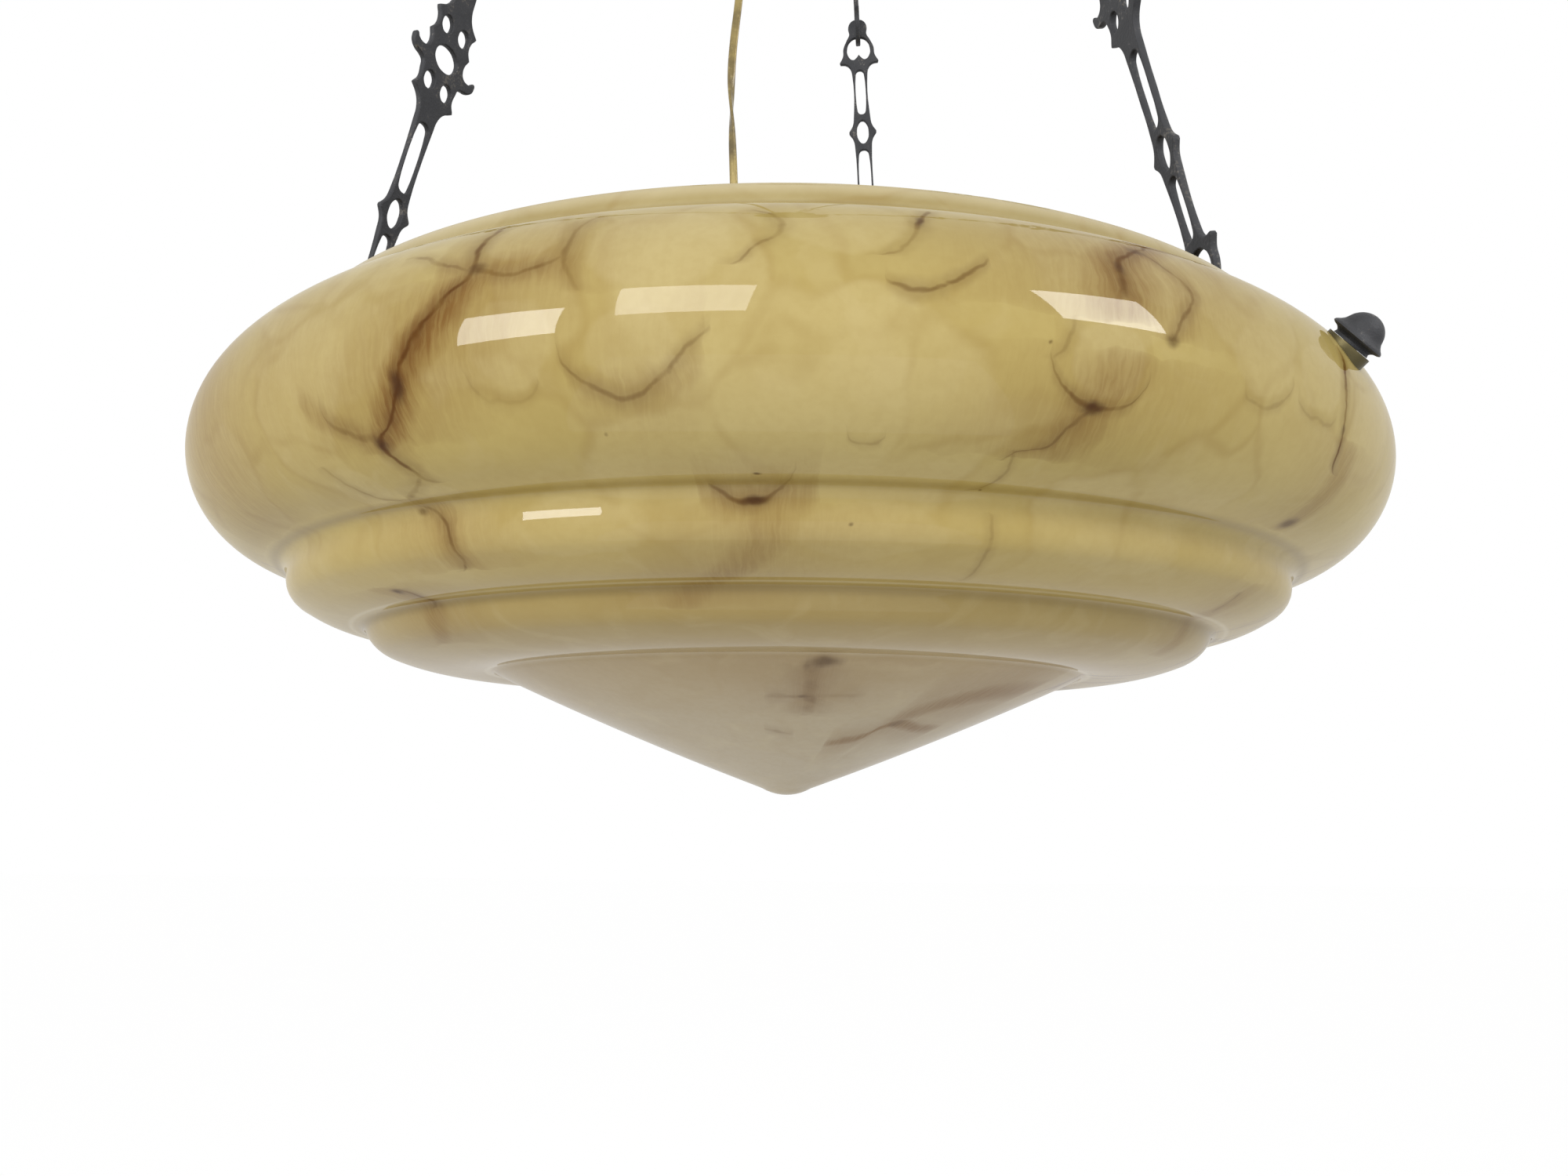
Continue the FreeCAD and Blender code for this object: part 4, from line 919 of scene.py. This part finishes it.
# ovals: turn, way, half width and half height in millimetres, strength
KNOTS = [
    (-109.8, 281.6, 3.6, 2.6, 0.85), (-115.2, 255.4, 3.4, 6.5, 0.8), (-118.7, 241.4, 2.8, 3.0, 0.8),
    (-121, 216.4, 2.8, 1.8, 0.8), (-82.4, 292.4, 1.6, 4.0, 0.55), (-66.9, 293.8, 4.2, 2.6, 0.75),
    (-69.4, 283.4, 2.4, 3.4, 0.65), (-71.3, 247.5, 3.8, 2.4, 0.8), (-66.3, 266.4, 3.0, 2.8, 0.65),
    (-47.4, 257.6, 2.0, 2.6, 0.7), (-44.2, 226.4, 6.5, 4.2, 0.55), (-92.7, 212.6, 5.0, 1.8, 0.75),
    (-58.2, 77, 10, 4.5, 0.5), (-131.2, 190, 3.6, 3.0, 0.6), (-87, 97.6, 6, 2.6, 0.4),
    (-84.4, 121, 15, 5, 0.6), (-86.8, 120, 4, 6, 0.4), (-74.9, 261, 0.9, 0.9, 0.7),
    (-102, 237.6, 0.8, 1.0, 0.6), (-92.4, 222, 1.0, 1.0, 0.6), (-85.6, 208, 1.0, 0.9, 0.6),
    (-75.9, 217.4, 0.9, 0.9, 0.6),
]
PEBBLES = [
    (-107, 291, 10, 9, 0.8), (-98, 284, 17, 15, 0.9), (-107, 261, 11, 11, 0.6),
    (-99.4, 258, 11, 10, 0.7), (-87, 291, 14, 12, 0.6), (-70.8, 259, 9, 10, 0.8),
    (-66.9, 283, 8, 9, 0.6), (-58, 267, 12, 10, 0.5), (-51, 269, 11, 10, 0.6),
    (-41.5, 259, 17, 16, 0.5), (-121, 266, 22, 15, 0.5), (-107, 207, 24, 9, 0.5),
    (-84, 205, 22, 9, 0.4), (-124, 229, 9, 8, 0.5), (-62, 205, 22, 9, 0.4), (-84, 256, 16, 14, 0.3),
]
print("veins", len(RISING_VEINS + LEVEL_VEINS), "smoky bands", len(RISING_SMOKE_AND_SHADE + LEVEL_SMOKE))
print("knots", len(KNOTS), "pebbles", len(PEBBLES))

# %% [markdown]
# Each mark becomes a mask, 1 where the mark is full and 0 away from it. A vein asks how far a point
# lies from a curve and fades out at both ends, and an oval asks how far it lies from a middle.
# Where marks cross, the strongest one wins, since adding them would make a blot.

# %% Marks as masks
TAPER = [(0, 0), (0.12, 1), (0.85, 1), (1, 0)]


def vein(finish, run, side, half_wide, strength, points):
    """A line with a soft halo on the map; run is the coordinate that it follows, side the other."""
    low, high = points[0][0], points[-1][0]
    sides = [place for _, place in points]
    least, most = min(sides), max(sides)
    step = finish.node("MapRange", {}, {"Value": run, "From Min": low, "From Max": high})
    long, wide = high - low, most - least
    knots = [((along - low) / long, (place - least) / wide) for along, place in points]
    middle = finish.node("FloatCurve", {"points": knots}, {"Value": step}) * wide + least
    taper = finish.node("FloatCurve", {"points": TAPER}, {"Value": step})
    gap = abs(side - middle)
    line = gap.between(half_wide * 1.7, half_wide * 0.1, strength)
    halo = gap.between(half_wide * 5, half_wide * 0.5, strength * 0.42)
    return line.largest(halo) * taper


def oval_spot(finish, place, turn, way, half_wide, half_tall, strength, edge):
    """A soft oval on the map, full inside edge and gone at its rim."""
    shrink = (1 / half_wide, 1 / half_tall, 0)
    middle = (-(turn - FRONT) * DEGREE / half_wide, -way / half_tall, 0)
    near = finish.node("VectorMath", {"operation": "MULTIPLY_ADD"}, {0: place, 1: shrink, 2: middle})
    reach = finish.node("VectorMath", {"operation": "LENGTH"}, {0: near}, "Value")
    return reach.between(1, edge, strength)


def strongest(flows):
    """The largest of many flows at each point."""
    most = flows[0]
    for flow in flows[1:]:
        most = most.largest(flow)
    return most


def veined(finish, across, way, rising, level):
    """The strongest of the veins that rise with the way and those that follow the turn."""
    made = []
    for half_wide, strength, points in rising:
        points = sorted((up, (turn - FRONT) * DEGREE) for turn, up in points)
        made.append(vein(finish, way, across, half_wide, strength, points))
    for half_wide, strength, points in level:
        points = sorted(((turn - FRONT) * DEGREE, up) for turn, up in points)
        made.append(vein(finish, across, way, half_wide, strength, points))
    return strongest(made)


# %% [markdown]
# In the real glass the colours were stirred while they were soft. Noise moves the map by a few
# millimetres in the same way, so that no mark looks drawn. The lines of the mould aren't stirred,
# so the clean way is kept for them.

# %% Stirred map
STIR = 6
FINE_STIR = 0.7
MM_PER_METRE = 1000
WAY_SHIFT = 0.8


def stirred_map(finish, spot):
    """Where a point lies on the map: across and way, both stirred, and the clean way."""
    texture = finish.node("UVMap", {"uv_map": "turn_and_way"}, {}, "UV")
    turn = finish.node("SeparateXYZ", {}, {0: texture}, "X")
    clean_way = finish.node("SeparateXYZ", {}, {0: texture}, "Y") * MM_PER_METRE - WAY_SHIFT
    stir = finish.node("SeparateXYZ", {}, {0: finish.noise(spot, 60, 3, output="Color")}, 0)
    stir_up = finish.noise(spot, 75, 3, 0.4)
    fine = finish.noise(spot, 240, 3) - 0.5
    across = (turn * 360 - (180 + FRONT)) * DEGREE + (stir - 0.5) * STIR + fine * FINE_STIR
    way = clean_way + (stir_up - 0.5) * STIR - fine * FINE_STIR
    return across, way, clean_way


# %% [markdown]
# Under the veins the glass is a mass of pale, pebble-like cells in honey and olive, greyer on the
# cone. A ramp up the bowl gives the main colour. Voronoi cells, warped by noise, break it into
# pebbles with faint seams, and clouds, grain and streaks blur them again, since bare cells would
# look like camouflage.

# %% Stone-like body
CELL_SCALE = 30
CELL_WARP = 0.03
BODY_TOP = 330
BODY_STOPS = [
    (0.0, srgb(180, 167, 142)),
    (0.24, srgb(176, 161, 132)),
    (0.37, srgb(170, 149, 110)),
    (0.50, srgb(162, 140, 84)),
    (0.58, srgb(176, 154, 92)),
    (0.72, srgb(182, 161, 92)),
    (0.80, srgb(180, 159, 94)),
    (0.92, srgb(172, 154, 96)),
    (1.0, srgb(162, 145, 96)),
]


def stone_body(finish, spot, clean_way, streak, pebbles):
    """The colour of the glass under its veins."""
    drift = finish.noise(spot, 28, 2, output="Color")
    warped = finish.node("VectorMath", {"operation": "MULTIPLY_ADD"},
                         {0: drift, 1: (CELL_WARP, CELL_WARP, CELL_WARP), 2: spot})
    cells = finish.node("TexVoronoi", {"feature": "SMOOTH_F1"},
                        {"Vector": warped, "Scale": CELL_SCALE, "Smoothness": 0.2}, "Color")
    seam = finish.node("TexVoronoi", {"feature": "DISTANCE_TO_EDGE"},
                       {"Vector": warped, "Scale": CELL_SCALE}, "Distance")
    pebbly = clean_way.between(185, 230) * 0.8 + 0.2
    tone = finish.node("SeparateColor", {}, {"Color": cells}, 0).between(0.15, 0.95) * pebbly
    cloud = finish.noise(spot, 22, 4, 0.6)
    seams = seam.between(0.08, 0.0) * cloud.between(0.35, 0.6) * pebbly
    body = finish.node("ValToRGB", {"stops": BODY_STOPS}, {"Fac": clean_way / BODY_TOP})
    pale = finish.mix(0.5, body, srgb(208, 192, 146))
    ochre = finish.mix(0.5, body, srgb(146, 118, 50))
    colour = finish.mix(tone * 0.45, body, pale)
    colour = finish.mix(cloud.between(0.42, 0.7) * 0.35, colour, ochre)
    colour = finish.mix(seams * 0.3, colour, srgb(150, 122, 56))
    colour = finish.mix(pebbles * 0.45, colour, pale)
    colour = finish.mix(finish.noise(spot, 420, 4).between(0.35, 0.7) * 0.14, colour, ochre)
    return finish.mix(streak.between(0.5, 0.72) * 0.22, colour, pale)


print("colour stops up the bowl", len(BODY_STOPS))

# %% [markdown]
# The brown stains lie over that body: smoke with fine strands in it, then the lines, then the dark
# knots. Round the back, where nothing is listed, thin contours of a noise stand in for
# veins.

# %% Stains
BACK_BROWN = srgb(136, 110, 80)
SMOKE_AND_SHADE_BROWN = srgb(122, 86, 34)
LINE_BROWN = srgb(88, 52, 8)
KNOT_BROWN = srgb(70, 40, 10)


def stained(finish, spot, across, way, streak, colour, lines, smoke_and_shade, knots):
    """A colour with the stains laid over it."""
    back = 1 - abs(across).between(250, 215)
    contours = abs(finish.noise(spot, 9, 3, 0.8) - 0.5).between(0.03, 0.0)
    wild = contours * finish.noise(spot, 5, 2).between(0.45, 0.6)
    hair = finish.noise(finish.node("CombineXYZ", {}, {0: across * 0.8, 1: way * 0.08}), 1, 5, 0.8)
    strands = 0.72 + hair.between(0.3, 0.66) * 0.32
    breadth = 0.5 + streak.between(0.34, 0.64) * 0.7
    colour = finish.mix(back * streak.between(0.55, 0.75) * 0.5, colour, BACK_BROWN)
    # smoke with its strands, which at the far left is partly painted shade
    colour = finish.mix(smoke_and_shade * strands, colour, SMOKE_AND_SHADE_BROWN)
    colour = finish.mix(lines.largest(wild * back * 0.6) * breadth.smallest(1), colour, LINE_BROWN)
    return finish.mix(knots * breadth, colour, KNOT_BROWN)


# %% [markdown]
# A clear, glossy coat lies over everything, and the base below it has no gloss of its own. The coat
# is thinner over the stains and at the bowl's edges, where a full one would wash the colour out.
# Soft rings round the bowl are painted shade in the step hollows and painted highlights on the brims.

# %% Marbled glass
# ways of the step hollows that get painted shade, each with its half width
HOLLOW_SHADE = ((178, 3), (219, 3.5), (317, 2))
# ways of the brims of the steps and of the lip that get painted highlights, each with its half width
BRIM_HIGHLIGHTS = ((128.5, 2), (182.5, 1.6), (324, 4))


def rings(clean_way, edges):
    """Soft rings at the ways that edges lists, each with its half width."""
    return strongest([abs(clean_way - middle).between(half, 0) for middle, half in edges])


def marbled_glass():
    finish = Finish("marbled_glass")
    spot = finish.place()
    across, way, clean_way = stirred_map(finish, spot)
    place = finish.node("CombineXYZ", {}, {0: across, 1: way})
    lines = veined(finish, across, way, RISING_VEINS, LEVEL_VEINS)
    smoke_and_shade = veined(finish, across, way, RISING_SMOKE_AND_SHADE, LEVEL_SMOKE)
    knots = strongest([oval_spot(finish, place, *knot, 0.15) for knot in KNOTS])
    pebbles = strongest([oval_spot(finish, place, *pebble, 0.82) for pebble in PEBBLES])
    streak = finish.noise(spot, 48, 5, 1.2)
    colour = stone_body(finish, spot, clean_way, streak, pebbles)
    colour = stained(finish, spot, across, way, streak, colour, lines, smoke_and_shade, knots)
    # painted shade: the hollows of the steps are darkened where shade falls in them
    colour = finish.mix(rings(clean_way, HOLLOW_SHADE) * 0.4, colour, srgb(118, 96, 44))
    # painted highlight: pale rings along the brims of the steps and the lip, where the gloss catches
    # light
    colour = finish.mix(rings(clean_way, BRIM_HIGHLIGHTS) * 0.35, colour, srgb(214, 202, 168))
    edge = finish.node("LayerWeight", {}, {"Blend": 0.5}, "Facing").between(0.4, 0.9)
    stain = lines.largest(knots).largest(smoke_and_shade * 0.6)
    return finish.shade(Base_Color=colour, Roughness=0.5, Specular_IOR_Level=0.0, Coat_Roughness=0.02,
                        Coat_IOR=1.5, Coat_Weight=(0.62 - edge * 0.1) * (1 - stain * 0.6))


glass = marbled_glass()
wear(bowl, glass)
print("nodes in the glass", len(glass.node_tree.nodes))

# %% [markdown]
# Chains, crown, canopy and finials are blackened cast metal. The black has a fine grain from the
# sand mould and wears to brown brass on the proud spots, so grain drives both the bump and the
# small glints. The other metals are plainer and share one recipe, a cloudy tarnish over a fine
# grain.

# %% Metals
def dark_casting():
    finish = Finish("dark_casting")
    spot = finish.place()
    grain = finish.noise(spot, 900, 6)
    blotch = finish.noise(spot, 120, 4, 0.3)
    worn = (grain * blotch).between(0.30, 0.42)
    colour = finish.mix(blotch, srgb(46, 47, 50), srgb(70, 70, 72))
    colour = finish.mix(worn * 0.4, colour, srgb(114, 106, 92))
    return finish.shade(Base_Color=colour, Metallic=0.55, Roughness=0.62 - worn * 0.25,
                        Normal=finish.bump(grain, 0.35, 0.0006))


def metal(name, dull, bright, grain_scale, roughness):
    """A plain metal with a cloudy tarnish and a fine grain."""
    finish = Finish(name)
    spot = finish.place()
    tarnish = finish.noise(spot, 60, 5, 0.5)
    grain = finish.noise(spot, grain_scale, 3)
    colour = finish.mix(tarnish.between(0.3, 0.75), dull, bright)
    return finish.shade(Base_Color=colour, Metallic=1.0, Roughness=roughness + tarnish * 0.15,
                        Normal=finish.bump(grain, 0.12, 0.0003))


# %% [markdown]
# Plastic, porcelain and rubber leave a mould in one even colour, so a recipe with a faint tone
# serves all three. The cord's sheath is gold plastic under a gloss coat. The bulb is thin clear
# glass, and a low alpha shows it without the noise that bending the light would bring.

# %% Plastics, rubber, cord and lamp glass
def moulded(name, colour, roughness, grain_scale):
    """A moulded or glazed piece with a faint uneven tone."""
    finish = Finish(name)
    spot = finish.place()
    tone = finish.noise(spot, 40, 3)
    grain = finish.noise(spot, grain_scale, 3)
    shade = tuple(level * 0.82 for level in colour)
    return finish.shade(Base_Color=finish.mix(tone, shade, colour), Roughness=roughness + grain * 0.1,
                        Normal=finish.bump(grain, 0.08, 0.0002))


def gold_cord():
    finish = Finish("gold_cord")
    spot = finish.place()
    tone = finish.noise(spot, 90, 4)
    fleck = finish.noise(spot, 700, 3)
    colour = finish.mix(tone.between(0.3, 0.7), srgb(96, 80, 40), srgb(158, 138, 76))
    colour = finish.mix(fleck.between(0.55, 0.75) * 0.4, colour, srgb(190, 172, 112))
    return finish.shade(Base_Color=colour, Roughness=0.24, Metallic=0.3, Coat_Weight=0.6,
                        Coat_Roughness=0.1)


def lamp_glass():
    finish = Finish("lamp_glass")
    haze = finish.noise(finish.place(), 30, 3)
    colour = finish.mix(haze, srgb(236, 238, 236), srgb(250, 250, 248))
    return finish.shade(Base_Color=colour, Roughness=0.03, IOR=1.45, Alpha=0.25 + haze * 0.1)


# %% [markdown]
# Every solid of the frame names its finish in the record, so one loop over a table dresses all that
# show. The links, finials and cord drawn above take theirs from the same table.

# %% Dressing the pieces
finishes = {
    "dark_casting": dark_casting(),
    "aged_brass": metal("aged_brass", srgb(82, 76, 54), srgb(124, 114, 82), 700, 0.42),
    "brass": metal("brass", srgb(150, 118, 58), srgb(206, 172, 96), 500, 0.22),
    "plated_steel": metal("plated_steel", srgb(128, 128, 128), srgb(186, 186, 184), 500, 0.26),
    "gold_cord": gold_cord(),
    "pale_plastic": moulded("pale_plastic", srgb(226, 222, 210), 0.4, 600),
    "porcelain": moulded("porcelain", srgb(240, 238, 232), 0.12, 300),
    "rubber": moulded("rubber", srgb(38, 38, 38), 0.7, 800),
    "clear_glass": lamp_glass(),
    "filament_wire": metal("filament_wire", srgb(70, 70, 72), srgb(120, 120, 120), 900, 0.4),
}
slots = {part["node"]: part["material_slot"] for part in frame["record"]["subparts"]}
for name, node in nodes.items():
    if slots[name] in finishes:
        wear(node, finishes[slots[name]])
for piece in links + finials:
    wear(piece, finishes["dark_casting"])
for piece in (cord_upper, cord_drop, cord_inner):
    wear(piece, finishes["gold_cord"])
print("finishes", sorted(finishes))

# %% [markdown]
# The photograph is cut out on white. The room is a pale world that is plain white to the camera and
# in reflections, and dimmer as a light, so that the white background doesn't wash out the object. A
# white card behind it would show its edges in the other views.

# %% Room
ROOM_LIGHT = 0.42
SEEN_BY = ("Camera", "Glossy", "Transmission")

scene = bpy.context.scene
scene.view_settings.view_transform = "Standard"
world = bpy.data.worlds.new("room")
scene.world = world
world.use_nodes = True


def seen_share(finish):
    """1 for rays from the camera, a reflection or clear glass, and 0 for the rest."""
    return strongest([finish.node("LightPath", {}, {}, f"Is {kind} Ray") for kind in SEEN_BY])


room = Nodes(world.node_tree)
dim = room.tree.nodes["Background"]
room.feed(dim.inputs["Color"], (1, 1, 1))
room.feed(dim.inputs["Strength"], ROOM_LIGHT)
white = room.node("Background", {}, {"Color": (1, 1, 1), "Strength": 1.0})
shown = room.node("MixShader", {}, {"Fac": seen_share(room), 1: Flow(room, dim.outputs[0]), 2: white})
room.feed(room.tree.nodes["World Output"].inputs["Surface"], shown)
print("room lights at", ROOM_LIGHT)

# %% [markdown]
# A pale floor lies well below the light, as far down as a room's floor would. Part of its shader
# glows to the camera, which lifts it to the background's white, and the rest still takes the
# light's shadow.

# %% Floor
FLOOR_LEVEL = -2.3
FLOOR_HALF = 12
FLOOR_GLOW = 1.25
FLOOR_LIFT = 0.7

floor_mesh = bpy.data.meshes.new("floor")
shape = bmesh.new()
bmesh.ops.create_grid(shape, x_segments=1, y_segments=1, size=FLOOR_HALF)
shape.to_mesh(floor_mesh)
shape.free()
floor = bpy.data.objects.new("floor", floor_mesh)
floor.location = (0, 0, FLOOR_LEVEL)
scene.collection.objects.link(floor)


def pale_floor():
    """A pale floor, lifted to white where it is seen, but still darkened by shadows."""
    finish = Finish("pale_floor")
    tone = finish.noise(finish.place(), 3, 3)
    colour = finish.mix(tone, (0.80, 0.80, 0.79), (0.84, 0.84, 0.83))
    finish.shade(Base_Color=colour, Roughness=0.8)
    glow = finish.node("Emission", {}, {"Strength": FLOOR_GLOW})
    plain = Flow(finish, finish.shader.outputs[0])
    share = seen_share(finish) * FLOOR_LIFT
    shown = finish.node("MixShader", {}, {"Fac": share, 1: plain, 2: glow})
    finish.feed(finish.tree.nodes["Material Output"].inputs["Surface"], shown)
    return finish.material


wear(floor, pale_floor())
print("floor at", FLOOR_LEVEL)

# %% [markdown]
# The bowl shows three bright window panes. Three rectangles of light stand where those would be,
# sized by the angle that each fills as seen from the bowl, and a broad, dim one fills in from
# below. A lit picture of a room could do the same, but lamps are easier to move until each
# highlight sits in its place.

# %% Windows
def window(name, azimuth, elevation, wide, tall, power, far=2.4):
    """A rectangle of light aimed at the bowl, its size given as angles seen from the bowl."""
    light = bpy.data.lights.new(name, "AREA")
    light.shape = "RECTANGLE"
    light.size = 2 * far * math.tan(math.radians(wide / 2))
    light.size_y = 2 * far * math.tan(math.radians(tall / 2))
    light.energy = power
    lamp = bpy.data.objects.new(name, light)
    scene.collection.objects.link(lamp)
    up = math.radians(elevation)
    turn = math.radians(azimuth)
    aim = Vector((math.cos(up) * math.cos(turn), math.cos(up) * math.sin(turn), math.sin(up)))
    lamp.location = Vector((0, 0, bowl_level)) + aim * far
    lamp.rotation_euler = aim.to_track_quat("Z", "Y").to_euler()
    print("lamp", name, "of", power, "watts")


window("window_left", 225.5, 10, 16.5, 17, 19.5)
window("window_middle", 253, 20, 20, 19, 16)
window("window_right", 322.5, 26, 18, 17, 21)
window("low_fill", 270, -50, 60, 60, 3, 1.2)

# %% [markdown]
# The last step brings the scene up to date.

# %% Scene brought up to date
bpy.context.view_layer.update()
